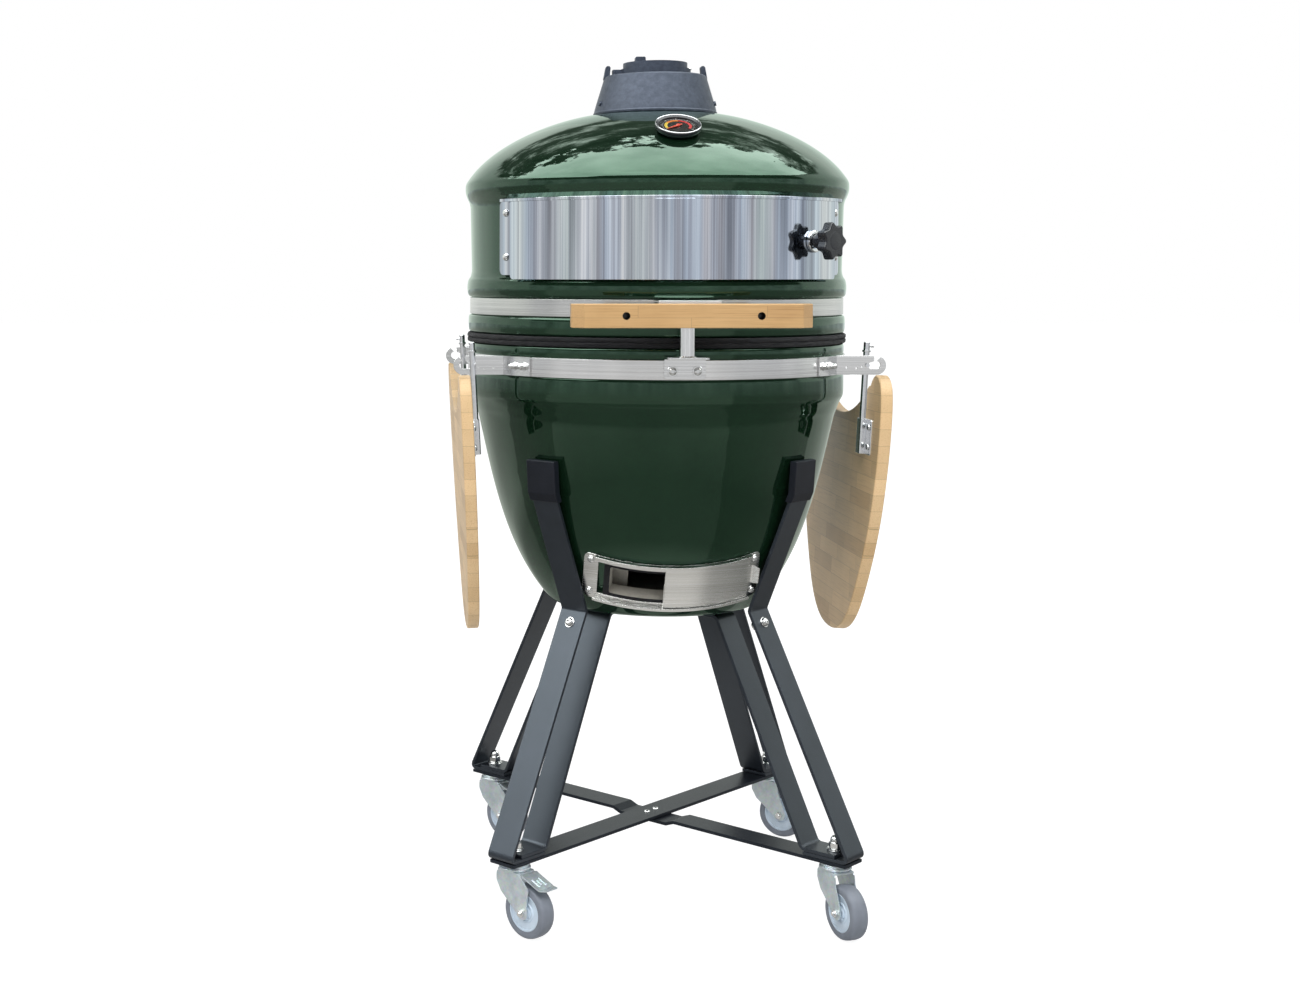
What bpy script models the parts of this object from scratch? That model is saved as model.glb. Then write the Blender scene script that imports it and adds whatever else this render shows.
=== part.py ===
"""Ceramic kamado grill on a caster cart.

A turned bowl and lid with steel bands, doors, damper, two hanging side shelves, and a cart.
World frame: metres, +Z up, origin on the floor under the body's vertical axis,
-Y is the front (draft door, handle), +X is the right-hand shelf.
"""
import bpy
import bmesh
from math import pi, sin, cos, tan, sqrt, radians
from mathutils import Vector, Matrix

for old_object in list(bpy.data.objects):
    bpy.data.objects.remove(old_object, do_unlink=True)

# ---------------------------------------------------------- shared dimensions
BODY_STEPS = 36          # facets round the ceramic body
GAP = 0.0003             # clearance between touching pieces
SMOOTH_ANGLE = radians(35.0)

Z_RIM = 0.8205           # top face of the bowl
Z_BOWL_BOTTOM = 0.430
Z_BOWL_FLOOR = 0.460
Z_LID_RIM = 0.8345       # bottom face of the lid
Z_DAMPER_SEAT = 1.1585   # flat seat on top of the dome
R_LOWER_SEAT = 0.2772    # ceramic under the lower band
R_UPPER_SEAT = 0.2742    # ceramic under the upper band

# Corner: side in X, side in Y, azimuth, caster swivel angle
CORNERS = {
    "FL": (-1, -1, radians(225), radians(-47)),
    "FR": (1, -1, radians(315), radians(-71)),
    "RL": (-1, 1, radians(135), radians(-47)),
    "RR": (1, 1, radians(45), radians(-34)),
}
FL_AZIMUTH = CORNERS["FL"][2]
FR_AZIMUTH = CORNERS["FR"][2]

X_AXIS = Vector((1, 0, 0))
Y_AXIS = Vector((0, 1, 0))
Z_AXIS = Vector((0, 0, 1))


def new_collection(name):
    coll = bpy.data.collections.new(name)
    bpy.context.scene.collection.children.link(coll)
    return coll


parts = new_collection("kamado_grill")
tools = new_collection("cutters")


# ------------------------------------------------------------------ materials
def material(name, color, roughness, metallic=0.0):
    mat = bpy.data.materials.new(name)
    mat.use_nodes = True
    shader = mat.node_tree.nodes["Principled BSDF"]
    shader.inputs["Base Color"].default_value = (*color, 1.0)
    shader.inputs["Roughness"].default_value = roughness
    shader.inputs["Metallic"].default_value = metallic
    mat.diffuse_color = (*color, 1.0)
    return mat


GLAZE = material("green_glaze", color=(0.02, 0.10, 0.045), roughness=0.08)
FIRECLAY = material("fireclay", color=(0.62, 0.58, 0.50), roughness=0.85)
IRON = material("cast_iron", color=(0.05, 0.052, 0.06), roughness=0.6, metallic=0.6)
STEEL = material("brushed_stainless", color=(0.62, 0.61, 0.60), roughness=0.3, metallic=1.0)
MIRROR = material("polished_stainless", color=(0.78, 0.78, 0.78), roughness=0.06, metallic=1.0)
CHROME = material("chrome", color=(0.75, 0.75, 0.77), roughness=0.12, metallic=1.0)
BLACK = material("black_powder_coat", color=(0.018, 0.020, 0.024), roughness=0.4)
CAP_RUBBER = material("cap_rubber", color=(0.02, 0.024, 0.035), roughness=0.55)
FELT = material("black_felt", color=(0.012, 0.012, 0.014), roughness=0.95)
BAMBOO = material("bamboo", color=(0.72, 0.48, 0.26), roughness=0.45)
ZINC = material("zinc_plate", color=(0.62, 0.66, 0.68), roughness=0.35, metallic=0.9)
TYRE = material("grey_tyre", color=(0.22, 0.22, 0.23), roughness=0.6)
PLASTIC = material("black_plastic", color=(0.02, 0.02, 0.022), roughness=0.35)
NEEDLE_RED = material("needle_red", color=(0.7, 0.08, 0.04), roughness=0.4)
STONE = material("cordierite", color=(0.68, 0.60, 0.47), roughness=0.9)


# --------------------------------------------------------------------- frames
def shift(x, y, z):
    return Matrix.Translation((x, y, z))


def basis(origin, x_dir, y_dir):
    """Placing with the given local X and Y; local Z is their cross product."""
    x = Vector(x_dir).normalized()
    y = Vector(y_dir).normalized()
    matrix = Matrix((x, y, x.cross(y))).transposed().to_4x4()
    matrix.translation = Vector(origin)
    return matrix


def radial(azimuth):
    """Local X out along the azimuth, local Y up, local Z across."""
    return basis((0, 0, 0), (cos(azimuth), sin(azimuth), 0), Z_AXIS)


# --------------------------------------------------------------- flat outlines
def arc(cx, cy, r, start, end, n):
    angles = [start + (end - start) * i / n for i in range(n + 1)]
    return [(cx + r * cos(a), cy + r * sin(a)) for a in angles]


def circle(cx, cy, r, n=16):
    return arc(cx, cy, r, 0, 2 * pi, n)[:-1]


def rounded_rect(x0, y0, x1, y1, r, n=3):
    return (arc(x1 - r, y1 - r, r, 0, pi / 2, n)
            + arc(x0 + r, y1 - r, r, pi / 2, pi, n)
            + arc(x0 + r, y0 + r, r, pi, 1.5 * pi, n)
            + arc(x1 - r, y0 + r, r, 1.5 * pi, 2 * pi, n))


def mirrored(half):
    """Whole path from its half, which starts on the line x = 0."""
    return [(-x, z) for x, z in half[::-1]] + half[1:]


def bent_path(path, r, n=3):
    """Round the inner corners of an open polyline."""
    out = [path[0]]
    for before, corner, after in zip(path, path[1:], path[2:]):
        before, corner, after = Vector(before), Vector(corner), Vector(after)
        back = (before - corner).normalized()
        ahead = (after - corner).normalized()
        angle = back.angle(ahead)
        if pi - angle < 0.15:            # almost straight
            out.append(tuple(corner))
            continue
        reach = min(r / tan(angle / 2),
                    0.45 * (before - corner).length,
                    0.45 * (after - corner).length)
        p = corner + back * reach
        q = corner + ahead * reach
        for i in range(n + 1):
            t = i / n
            out.append(tuple(p * (1 - t) ** 2 + corner * 2 * t * (1 - t) + q * t * t))
    out.append(path[-1])
    return out


def strip_outline(path, thickness):
    """Outline of a bent flat bar seen from its edge."""
    points = [Vector(p) for p in path]
    runs = [(b - a).normalized() for a, b in zip(points, points[1:])]
    left, right = [], []
    for p, run_in, run_out in zip(points, runs[:1] + runs, runs + runs[-1:]):
        normal_in = Vector((-run_in.y, run_in.x))
        normal_out = Vector((-run_out.y, run_out.x))
        mitre = (normal_in + normal_out).normalized()
        offset = (thickness / 2) / max(0.3, mitre.dot(normal_in))
        left.append(tuple(p + mitre * offset))
        right.append(tuple(p - mitre * offset))
    return left + right[::-1]


# --------------------------------------------------------------------- solids
def put(data, name, mat=None, matrix=None, coll=parts):
    ob = bpy.data.objects.new(name, data)
    coll.objects.link(ob)
    if mat is not None:
        data.materials.clear()
        data.materials.append(mat)
    if matrix is not None:
        ob.matrix_world = matrix
    return ob


def put_bmesh(bm, name, mat, matrix, coll):
    mesh = bpy.data.meshes.new(name)
    bm.to_mesh(mesh)
    bm.free()
    return put(mesh, name, mat, matrix, coll)


def recalc_normals(mesh, merge=None, split_ngons=False):
    bm = bmesh.new()
    bm.from_mesh(mesh)
    if merge is not None:
        bmesh.ops.remove_doubles(bm, verts=bm.verts, dist=merge)
    if split_ngons:
        bmesh.ops.triangulate(bm, faces=[f for f in bm.faces if len(f.verts) > 4])
    bmesh.ops.recalc_face_normals(bm, faces=bm.faces)
    bm.to_mesh(mesh)
    bm.free()


def revolve(name, profile, mat, closed=True, steps=BODY_STEPS, matrix=None):
    """Shape turned about local Z from (radius, height) points."""
    mesh = bpy.data.meshes.new(name)
    n = len(profile)
    edges = [(i, i + 1) for i in range(n - 1)]
    if closed:
        edges.append((n - 1, 0))
    mesh.from_pydata([(r, 0.0, z) for r, z in profile], edges, [])
    ob = put(mesh, name, mat, matrix)
    screw = ob.modifiers.new("turn", "SCREW")
    screw.axis = "Z"
    screw.angle = 2 * pi
    screw.steps = steps
    screw.render_steps = steps
    screw.use_merge_vertices = True
    screw.merge_threshold = 0.00001
    screw.use_smooth_shade = True
    return ob


def freeze(ob, name=None):
    """Replace an object by the mesh that its modifiers or curve make."""
    bpy.context.view_layer.update()
    depsgraph = bpy.context.evaluated_depsgraph_get()
    mesh = bpy.data.meshes.new_from_object(ob.evaluated_get(depsgraph))
    recalc_normals(mesh, merge=0.00001)
    name = name or ob.name
    matrix = ob.matrix_world.copy()
    coll = ob.users_collection[0]
    data = ob.data
    mat = data.materials[0] if data.materials else None
    bpy.data.objects.remove(ob, do_unlink=True)
    if isinstance(data, bpy.types.Curve):
        bpy.data.curves.remove(data)
    else:
        bpy.data.meshes.remove(data)
    mesh.name = name
    return put(mesh, name, mat, matrix, coll)


def prism(name, outlines, half, mat=None, matrix=None, coll=parts):
    """Flat outline (first one outer, the rest holes), half the thickness each way."""
    curve = bpy.data.curves.new(name, "CURVE")
    curve.dimensions = "2D"
    curve.fill_mode = "BOTH"
    curve.extrude = half
    for outline in outlines:
        spline = curve.splines.new("POLY")
        spline.points.add(len(outline) - 1)
        for point, (x, y) in zip(spline.points, outline):
            point.co = (x, y, 0.0, 1.0)
        spline.use_cyclic_u = True
    return freeze(put(curve, name, mat, matrix, coll))


def cylinder(name, r, z0, z1, mat=None, matrix=None, n=16, coll=parts):
    bm = bmesh.new()
    bmesh.ops.create_cone(bm, cap_ends=True, segments=n, radius1=r, radius2=r,
                          depth=z1 - z0, matrix=shift(0, 0, (z0 + z1) / 2))
    return put_bmesh(bm, name, mat, matrix, coll)


def block(name, low, high, mat=None, matrix=None, coll=parts):
    bm = bmesh.new()
    size = [h - l for l, h in zip(low, high)]
    middle = [(h + l) / 2 for l, h in zip(low, high)]
    bmesh.ops.create_cube(bm, size=1.0, matrix=shift(*middle) @ Matrix.Diagonal((*size, 1.0)))
    return put_bmesh(bm, name, mat, matrix, coll)


def add_boolean(ob, tool, operation):
    mod = ob.modifiers.new(operation.lower(), "BOOLEAN")
    mod.operation = operation
    mod.object = tool
    mod.solver = "EXACT"


def cut(ob, tool):
    """Subtract a cutter, which stays in the scene as a hidden helper."""
    tool.hide_render = True
    tool.display_type = "WIRE"
    add_boolean(ob, tool, "DIFFERENCE")


def baked(ob):
    """Move an object's placing into its mesh."""
    ob.data.transform(ob.matrix_world)
    ob.matrix_world = Matrix.Identity(4)
    return ob


def fuse(name, pieces):
    """Join several closed solids into one body, and drop the pieces."""
    first, *others = [baked(piece) for piece in pieces]
    for piece in others:
        add_boolean(first, piece, "UNION")
    body = freeze(first, name)
    for piece in others:
        bpy.data.objects.remove(piece, do_unlink=True)
    return body


# ---------------------------------------------------------------- bent sheets
# Sheet coordinates are u across, v up the wall, w out of the wall.
def slice_x(ob, strips, low, high):
    bm = bmesh.new()
    bm.from_mesh(ob.data)
    for i in range(1, strips):
        x = low + (high - low) * i / strips
        bmesh.ops.bisect_plane(bm, geom=bm.verts[:] + bm.edges[:] + bm.faces[:], dist=1e-7,
                               plane_co=(x, 0, 0), plane_no=(1, 0, 0))
    bmesh.ops.remove_doubles(bm, verts=bm.verts, dist=1e-6)
    bm.to_mesh(ob.data)
    bm.free()


def wrap(ob, to_wall, strips, low, high):
    """Bend a flat sheet: cut it into strips across X, then map every point."""
    slice_x(ob, strips, low, high)
    for vertex in ob.data.vertices:
        vertex.co = to_wall(*vertex.co)
    recalc_normals(ob.data, split_ngons=True)


DOOR_R = 0.2785                # inner radius of the pizza door frame


def on_lid(u, v, w):
    """Upright cylinder round the lid; v is the world height."""
    a = u / DOOR_R
    return Vector(((DOOR_R + w) * sin(a), -(DOOR_R + w) * cos(a), v))


# The draft door lies on a cylinder whose axis leans with the bowl's wall.
DRAFT_TILT = radians(26.0)
DRAFT_R = 0.222
DRAFT_CENTRE = Vector((0, -0.1935, 0.4798))    # middle of the sheet's front
DRAFT_OUT = Vector((0, -cos(DRAFT_TILT), -sin(DRAFT_TILT)))
DRAFT_UP = Vector((0, -sin(DRAFT_TILT), cos(DRAFT_TILT)))
DRAFT_AXIS = DRAFT_CENTRE - DRAFT_OUT * DRAFT_R


def on_draft(u, v, w):
    a = u / DRAFT_R
    return DRAFT_AXIS + (DRAFT_OUT * cos(a) + X_AXIS * sin(a)) * (DRAFT_R + w) + DRAFT_UP * v


# ============================================================== ceramic body
# Profiles are (radius, height).
R_CHIMNEY = 0.060
BOWL_INNER = [
    (0.0, Z_BOWL_FLOOR), (0.1440, Z_BOWL_FLOOR), (0.1880, 0.5250),
    (0.2250, 0.6450), (0.2480, 0.7600), (0.2500, Z_RIM),
]
BOWL_OUTER = [
    (0.2750, Z_RIM), (0.2780, 0.8170), (0.2780, 0.8070), (R_LOWER_SEAT, 0.8050),
    (R_LOWER_SEAT, 0.7770), (0.2778, 0.7745), (0.2778, 0.7455), (0.2720, 0.7330),
    (0.2650, 0.7140), (0.2530, 0.6615), (0.2405, 0.6075), (0.2240, 0.5535),
    (0.2005, 0.4995), (0.1745, 0.4545), (0.1600, 0.4370), (0.1480, Z_BOWL_BOTTOM),
    (0.0, Z_BOWL_BOTTOM),
]
LID_OUTER = [
    (R_CHIMNEY, Z_DAMPER_SEAT), (0.0980, 1.1583), (0.1455, 1.1475), (0.1935, 1.1295),
    (0.2260, 1.1115), (0.2510, 1.0935), (0.2705, 1.0755), (0.2830, 1.0575),
    (0.2843, 1.0485), (0.2835, 1.0400), (0.2772, 1.0270), (0.2745, 0.9250),
    (0.2800, 0.9125), (0.2812, 0.9045), (0.2800, 0.8940), (R_UPPER_SEAT, 0.8870),
    (R_UPPER_SEAT, 0.8620), (0.2790, 0.8570), (0.2790, 0.8410), (0.2740, Z_LID_RIM),
]
LID_INNER = [
    (0.2495, Z_LID_RIM), (0.2495, 1.0300), (0.2300, 1.0720),
    (0.1780, 1.1090), (0.1000, 1.1310), (R_CHIMNEY, 1.1340),
]
INLET_U = (-0.094, 0.010)      # air inlet behind the draft door
MOUTH_HALF = 0.230             # pizza mouth, half width along the wall

# thermometer axis: square to the dome at its front
THERMO_TILT = radians(28.4)
THERMO_OUT = Vector((0, -sin(THERMO_TILT), cos(THERMO_TILT)))
THERMO_FRAME = basis((0, -0.2111, 1.1202), X_AXIS, THERMO_OUT.cross(X_AXIS))

R_GASKET = 0.2796
Z_LOWER_GASKET_TOP = 0.8274
BAND_T = 0.0025


def base_bowl():
    bowl = revolve("base_bowl", BOWL_INNER + BOWL_OUTER, GLAZE, closed=False)
    inlet = block("cut_inlet", (INLET_U[0], -0.026, -0.070), (INLET_U[1], 0.026, 0.030),
                  coll=tools)
    wrap(inlet, on_draft, 5, *INLET_U)
    cut(bowl, inlet)


def lid_dome():
    lid = revolve("lid_dome", LID_OUTER + LID_INNER, GLAZE)
    mouth = block("cut_pizza_mouth", (-MOUTH_HALF, 0.928, -0.060), (MOUTH_HALF, 1.014, 0.030),
                  coll=tools)
    wrap(mouth, on_lid, 14, -MOUTH_HALF, MOUTH_HALF)
    cut(lid, mouth)
    cut(lid, cylinder("cut_thermo", 0.0070, -0.060, 0.020, matrix=THERMO_FRAME, n=12,
                      coll=tools))


def ring(name, r_in, r_out, z_low, z_high, mat):
    """Ring of rectangular section."""
    revolve(name, [(r_out, z_high), (r_out, z_low), (r_in, z_low), (r_in, z_high)], mat)


base_bowl()
lid_dome()
# felt gaskets, one on each rim
ring("lower_gasket", 0.2520, R_GASKET, Z_RIM + GAP, Z_LOWER_GASKET_TOP, FELT)
ring("upper_gasket", 0.2515, R_GASKET, Z_LOWER_GASKET_TOP + GAP, Z_LID_RIM - GAP, FELT)
ring("lower_band", R_LOWER_SEAT + GAP, R_LOWER_SEAT + GAP + BAND_T, 0.7775, 0.8045, STEEL)
ring("upper_band", R_UPPER_SEAT + GAP, R_UPPER_SEAT + GAP + BAND_T, 0.8625, 0.8865, STEEL)


# ============================================================ inside the bowl
FIRE_STEPS = 28
Z_FIRE_BOX_TOP = 0.6140
Z_FIRE_RING = Z_FIRE_BOX_TOP + GAP
FIRE_BOX = [
    (0.1980, Z_FIRE_BOX_TOP), (0.1755, 0.5350), (0.1320, Z_BOWL_FLOOR + GAP),
    (0.1120, Z_BOWL_FLOOR + GAP), (0.1240, 0.5000), (0.1400, 0.5000), (0.1780, Z_FIRE_BOX_TOP),
]
FIRE_RING = [
    (0.2180, 0.7600), (0.2180, 0.6900), (0.2000, Z_FIRE_RING),
    (0.1790, Z_FIRE_RING), (0.1960, 0.6900), (0.1980, 0.7600),
]
PIZZA_STONE = [(0.0, 0.7820), (0.1900, 0.7820), (0.1900, 0.7668), (0.0, 0.7668)]


def fire_box():
    box = revolve("fire_box", FIRE_BOX, FIRECLAY, steps=FIRE_STEPS)
    cut(box, block("cut_ash_mouth", (-0.056, -0.200, 0.440), (0.040, -0.080, 0.4960),
                   coll=tools))


def slotted_disc(name, mat, z, radius, facets, half, slot_half, pitch, side_slots, reach):
    """Disc with a middle slot and side_slots each side, ending on a circle of radius reach."""
    slots = []
    for k in range(-side_slots, side_slots + 1):
        x = k * pitch
        length = sqrt(reach ** 2 - x ** 2)
        slots.append(rounded_rect(x - slot_half, -length, x + slot_half, length, 0.004, 1))
    prism(name, [circle(0, 0, radius, facets)] + slots, half, mat, shift(0, 0, z))


fire_box()
revolve("fire_ring", FIRE_RING, FIRECLAY, steps=FIRE_STEPS)
slotted_disc("charcoal_grate", IRON, z=0.5046, radius=0.1330, facets=24, half=0.004,
             slot_half=0.0045, pitch=0.028, side_slots=3, reach=0.112)
slotted_disc("cooking_grid", CHROME, z=0.7634, radius=0.2170, facets=40, half=0.003,
             slot_half=0.0110, pitch=0.030, side_slots=6, reach=0.205)
revolve("pizza_stone", PIZZA_STONE, STONE, closed=False, steps=FIRE_STEPS)


# ================================================================= draft door
SHEET_T = 0.0012               # sheet thickness of both doors
DRAFT_HALF = 0.0375            # half height of the frame sheet
DRAFT_U = (-0.1300, 0.1340)    # ends of the frame
DRAFT_RAIL_INSET = 0.018       # rail end to frame end
DRAFT_PANEL_U = (-0.0130, 0.1130)
DRAFT_PANEL_CUTS = (-0.0133, 0.1190)    # span that is divided into strips
DRAFT_PANEL_W = 0.0036         # how far out the panel's middle lies


def draft_door_frame():
    u0, u1 = DRAFT_U
    top = DRAFT_HALF
    plate = prism("draft_plate", [rounded_rect(u0, -top, u1, top, 0.010, 3),
                                  rounded_rect(-0.1080, -0.0265, 0.0140, 0.0265, 0.002, 1)],
                  SHEET_T / 2, STEEL, shift(0, 0, SHEET_T / 2))
    # lipped rail in (w, v), upper one first
    lip = [(0.0010, top - SHEET_T), (0.0010, top), (0.0070, top), (0.0070, top - 0.0045),
           (0.0058, top - 0.0045), (0.0058, top - SHEET_T)]
    rails = [prism("draft_rail", [[(w, side * v) for w, v in lip]],
                   (u1 - u0) / 2 - DRAFT_RAIL_INSET, STEEL,
                   basis(((u0 + u1) / 2, 0, 0), Z_AXIS, Y_AXIS))
             for side in (1, -1)]
    wrap(fuse("draft_door_frame", [plate] + rails), on_draft, 16, u0, u1)


def draft_door_panel():
    u0, u1 = DRAFT_PANEL_U
    top = DRAFT_HALF - 0.0020
    panel = prism("draft_panel_flat", [rounded_rect(u0, -top, u1, top, 0.0015, 1)],
                  SHEET_T / 2, STEEL, shift(0, 0, DRAFT_PANEL_W))
    # ear in (u, w), bent outwards from the panel's right end
    ear_path = [(u1 - 0.0015, DRAFT_PANEL_W), (u1 + 0.0045, 0.0048), (u1 + 0.0090, 0.0150)]
    ear = prism("draft_ear", [strip_outline(bent_path(ear_path, 0.003, 2), SHEET_T)],
                0.0150, STEEL, basis((0, 0.006, 0), X_AXIS, Z_AXIS))
    wrap(fuse("draft_door_panel", [panel, ear]), on_draft, 8, *DRAFT_PANEL_CUTS)


draft_door_frame()
draft_door_panel()


# ================================================================= pizza door
DOOR_STRIPS = 18
DOOR_HALF = radians(60.0) * DOOR_R        # half widths along the wall
DOOR_PANEL_HALF = radians(53.4) * DOOR_R
DOOR_TOP = 1.0262
DOOR_PANEL_W = 0.0072

# lipped top rail, (w, height)
DOOR_RAIL = [
    (0.0002, 1.0250), (0.0002, 1.0282), (0.0100, 1.0282), (0.0100, 1.0238),
    (0.0088, 1.0238), (0.0088, 1.0270), (0.0014, 1.0270), (0.0014, 1.0250),
]

KNOB_AZIMUTH = radians(41.0)              # from the front towards +X
KNOB_Z = 0.967
KNOB_OUT = Vector((sin(KNOB_AZIMUTH), -cos(KNOB_AZIMUTH), 0))
KNOB_FRAME = basis(KNOB_OUT * (DOOR_R + 0.0082) + Vector((0, 0, KNOB_Z)),
                   Z_AXIS, KNOB_OUT.cross(Z_AXIS))
KNOB_LOBES = 7
LOBE_R = 0.0262
LOBE_HALF_ANGLE = 0.17
VALLEY_R = 0.0208
WASHER = [(0.0143, 0.0047), (0.0155, 0.0035), (0.0155, 0.0002), (0.0105, 0.0002),
          (0.0105, 0.0047)]


def pizza_door_frame():
    plate = prism("pizza_plate", [rounded_rect(-DOOR_HALF, 0.9200, DOOR_HALF, DOOR_TOP, 0.008),
                                  rounded_rect(-0.224, 0.9340, 0.224, 1.0080, 0.004, 1)],
                  SHEET_T / 2, MIRROR, shift(0, 0, SHEET_T / 2))
    rail = prism("pizza_rail", [DOOR_RAIL], DOOR_HALF - 0.012, MIRROR,
                 basis((0, 0, 0), Z_AXIS, Y_AXIS))
    wrap(fuse("pizza_door_frame", [plate, rail]), on_lid, DOOR_STRIPS, -DOOR_HALF, DOOR_HALF)


def pizza_door_panel():
    half = DOOR_PANEL_HALF
    panel = prism("pizza_door_panel", [rounded_rect(-half, 0.9140, half, DOOR_TOP, 0.006)],
                  SHEET_T / 2, MIRROR, shift(0, 0, DOOR_PANEL_W))
    wrap(baked(panel), on_lid, DOOR_STRIPS, -half, half)


def pizza_door_knob():
    """Star knob with a round hub, its axis square to the door."""
    outline = []
    for i in range(KNOB_LOBES):
        a = 2 * pi * i / KNOB_LOBES
        for r, angle in ((LOBE_R, a - LOBE_HALF_ANGLE), (LOBE_R, a + LOBE_HALF_ANGLE),
                         (VALLEY_R, a + pi / KNOB_LOBES)):
            outline.append((r * cos(angle), r * sin(angle)))
    star = prism("knob_star", [outline], 0.0072, PLASTIC, KNOB_FRAME @ shift(0, 0, 0.0297))
    hub = cylinder("knob_hub", 0.0100, 0.0050, 0.0250, PLASTIC, KNOB_FRAME, 18)
    fuse("pizza_door_knob", [star, hub])


pizza_door_frame()
pizza_door_panel()
pizza_door_knob()
revolve("pizza_door_washer", WASHER, CHROME, steps=20, matrix=KNOB_FRAME)


# ===================================================================== damper
DAMPER_FOOT = Z_DAMPER_SEAT + 0.0005
DAMPER_BODY = [
    (0.0560, 1.2175), (0.0745, 1.2180), (0.0762, 1.2165), (0.0900, 1.1680), (0.0918, 1.1655),
    (0.0922, DAMPER_FOOT), (0.0595, DAMPER_FOOT), (0.0585, 1.1400), (0.0540, 1.1400),
    (0.0545, 1.1620), (0.0840, 1.1650), (0.0700, 1.2110), (0.0400, 1.2110), (0.0400, 1.2175),
]
PRONG = [(0.0700, 1.2150), (0.0768, 1.2150), (0.0730, 1.2320), (0.0715, 1.2335),
         (0.0695, 1.2335), (0.0685, 1.2320)]
PETALS = 5
PETAL_RING_R = 0.026
PETAL_R = 0.0095


def damper_body():
    body = freeze(revolve("damper_body", DAMPER_BODY, IRON, steps=28))
    prongs = [prism("damper_prong", [PRONG], 0.0055, IRON, radial(a)) for a in (0, pi)]
    fuse("damper_body", [body] + prongs)


def petal_disc(name, radius, half, z, start):
    """Disc with a ring of round holes, the first at angle start."""
    angles = [start + 2 * pi * i / PETALS for i in range(PETALS)]
    holes = [circle(PETAL_RING_R * cos(a), PETAL_RING_R * sin(a), PETAL_R, 8) for a in angles]
    return prism(name, [circle(0, 0, radius, 30)] + holes, half, IRON, shift(0, 0, z))


def damper_slide_disc():
    disc = petal_disc("slide_plate", 0.0530, 0.0050, 1.2231, radians(90))
    lug = prism("slide_lug", [rounded_rect(-0.0645, -0.0085, -0.0480, 0.0085, 0.003, 2)],
                0.0048, IRON, shift(0, 0, 1.2230))
    fuse("damper_slide_disc", [disc, lug])


def damper_wheel():
    disc = petal_disc("wheel_plate", 0.0480, 0.0045, 1.2330, radians(126))
    finger = block("wheel_finger", (-0.0310, -0.0060, 1.2340), (-0.0150, 0.0060, 1.2475), IRON)
    fuse("damper_wheel", [disc, finger])


damper_body()
damper_slide_disc()
damper_wheel()


# ================================================================ thermometer
# case and probe, (radius, distance out of the dome)
THERMO_CASE = [
    (0.0, 0.0070), (0.0282, 0.0070), (0.0290, 0.0108), (0.0303, 0.0114), (0.0322, 0.0102),
    (0.0325, 0.0070), (0.0295, 0.0024), (0.0285, 0.0018), (0.0045, 0.0018),
    (0.0040, -0.0680), (0.0, -0.0700),
]
NEEDLE = [(-0.0060, -0.0011), (0.0, -0.0024), (0.0190, -0.0005), (0.0190, 0.0005),
          (0.0, 0.0024), (-0.0060, 0.0011)]
NEEDLE_ANGLE = radians(215)

revolve("thermometer_case", THERMO_CASE, CHROME, closed=False, steps=24, matrix=THERMO_FRAME)
prism("thermometer_needle", [NEEDLE], 0.0004, NEEDLE_RED,
      THERMO_FRAME @ shift(0, 0, 0.0088) @ Matrix.Rotation(NEEDLE_ANGLE, 4, "Z"))


# ============================================================ handle and post
HANDLE_Z = 0.8665
HANDLE_HALF = 0.1600
HANDLE_BACK = -0.3208
HANDLE_FRONT = -0.3520
HANDLE_CHAMFER = 0.0160
# Blocks of the handle bracket: low corner, high corner
BRACKET_BLOCKS = {
    "hb_rear": ((-0.042, -0.2812, 0.8635), (0.042, -0.2786, 0.8865)),
    "hb_top": ((-0.042, -0.3202, 0.8840), (0.042, -0.2790, 0.8865)),
    "hb_front": ((-0.105, -0.3204, 0.8540), (0.105, -0.3180, 0.8812)),
    "hb_web": ((-0.042, -0.3203, 0.8700), (0.042, -0.3181, 0.8862)),
}


def handle_bar():
    """Bar with chamfered front ends and two shallow bores in its front face."""
    shoulder = HANDLE_FRONT + HANDLE_CHAMFER
    nose = HANDLE_HALF - HANDLE_CHAMFER
    outline = [(-HANDLE_HALF, HANDLE_BACK), (-HANDLE_HALF, shoulder), (-nose, HANDLE_FRONT),
               (nose, HANDLE_FRONT), (HANDLE_HALF, shoulder), (HANDLE_HALF, HANDLE_BACK)]
    bar = prism("handle_bar", [outline], 0.0160, BAMBOO, shift(0, 0, HANDLE_Z))
    for side in (1, -1):
        frame = basis((side * 0.0890, HANDLE_FRONT, HANDLE_Z), X_AXIS, Z_AXIS)
        cut(bar, cylinder("cut_bore_%d" % side, 0.0052, -0.0005, 0.0160, matrix=frame, n=14,
                          coll=tools))


def latch_post():
    plate = block("pb_plate", (-0.0285, -0.2836, 0.7790), (0.0285, -0.2806, 0.8070), STEEL)
    ledge = block("pb_shelf", (-0.0285, -0.3140, 0.8066), (0.0285, -0.2806, 0.8096), STEEL)
    post = cylinder("pb_post", 0.0105, 0.8080, 0.8720, STEEL, shift(0, -0.2998, 0), 24)
    fuse("latch_post", [plate, ledge, post])


handle_bar()
fuse("handle_bracket", [block(name, low, high, STEEL)
                        for name, (low, high) in BRACKET_BLOCKS.items()])
latch_post()


# ====================================================================== hinge
HINGE_Y = 0.3410
HINGE_Z = 0.8330
HINGE_R = 0.005


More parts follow.
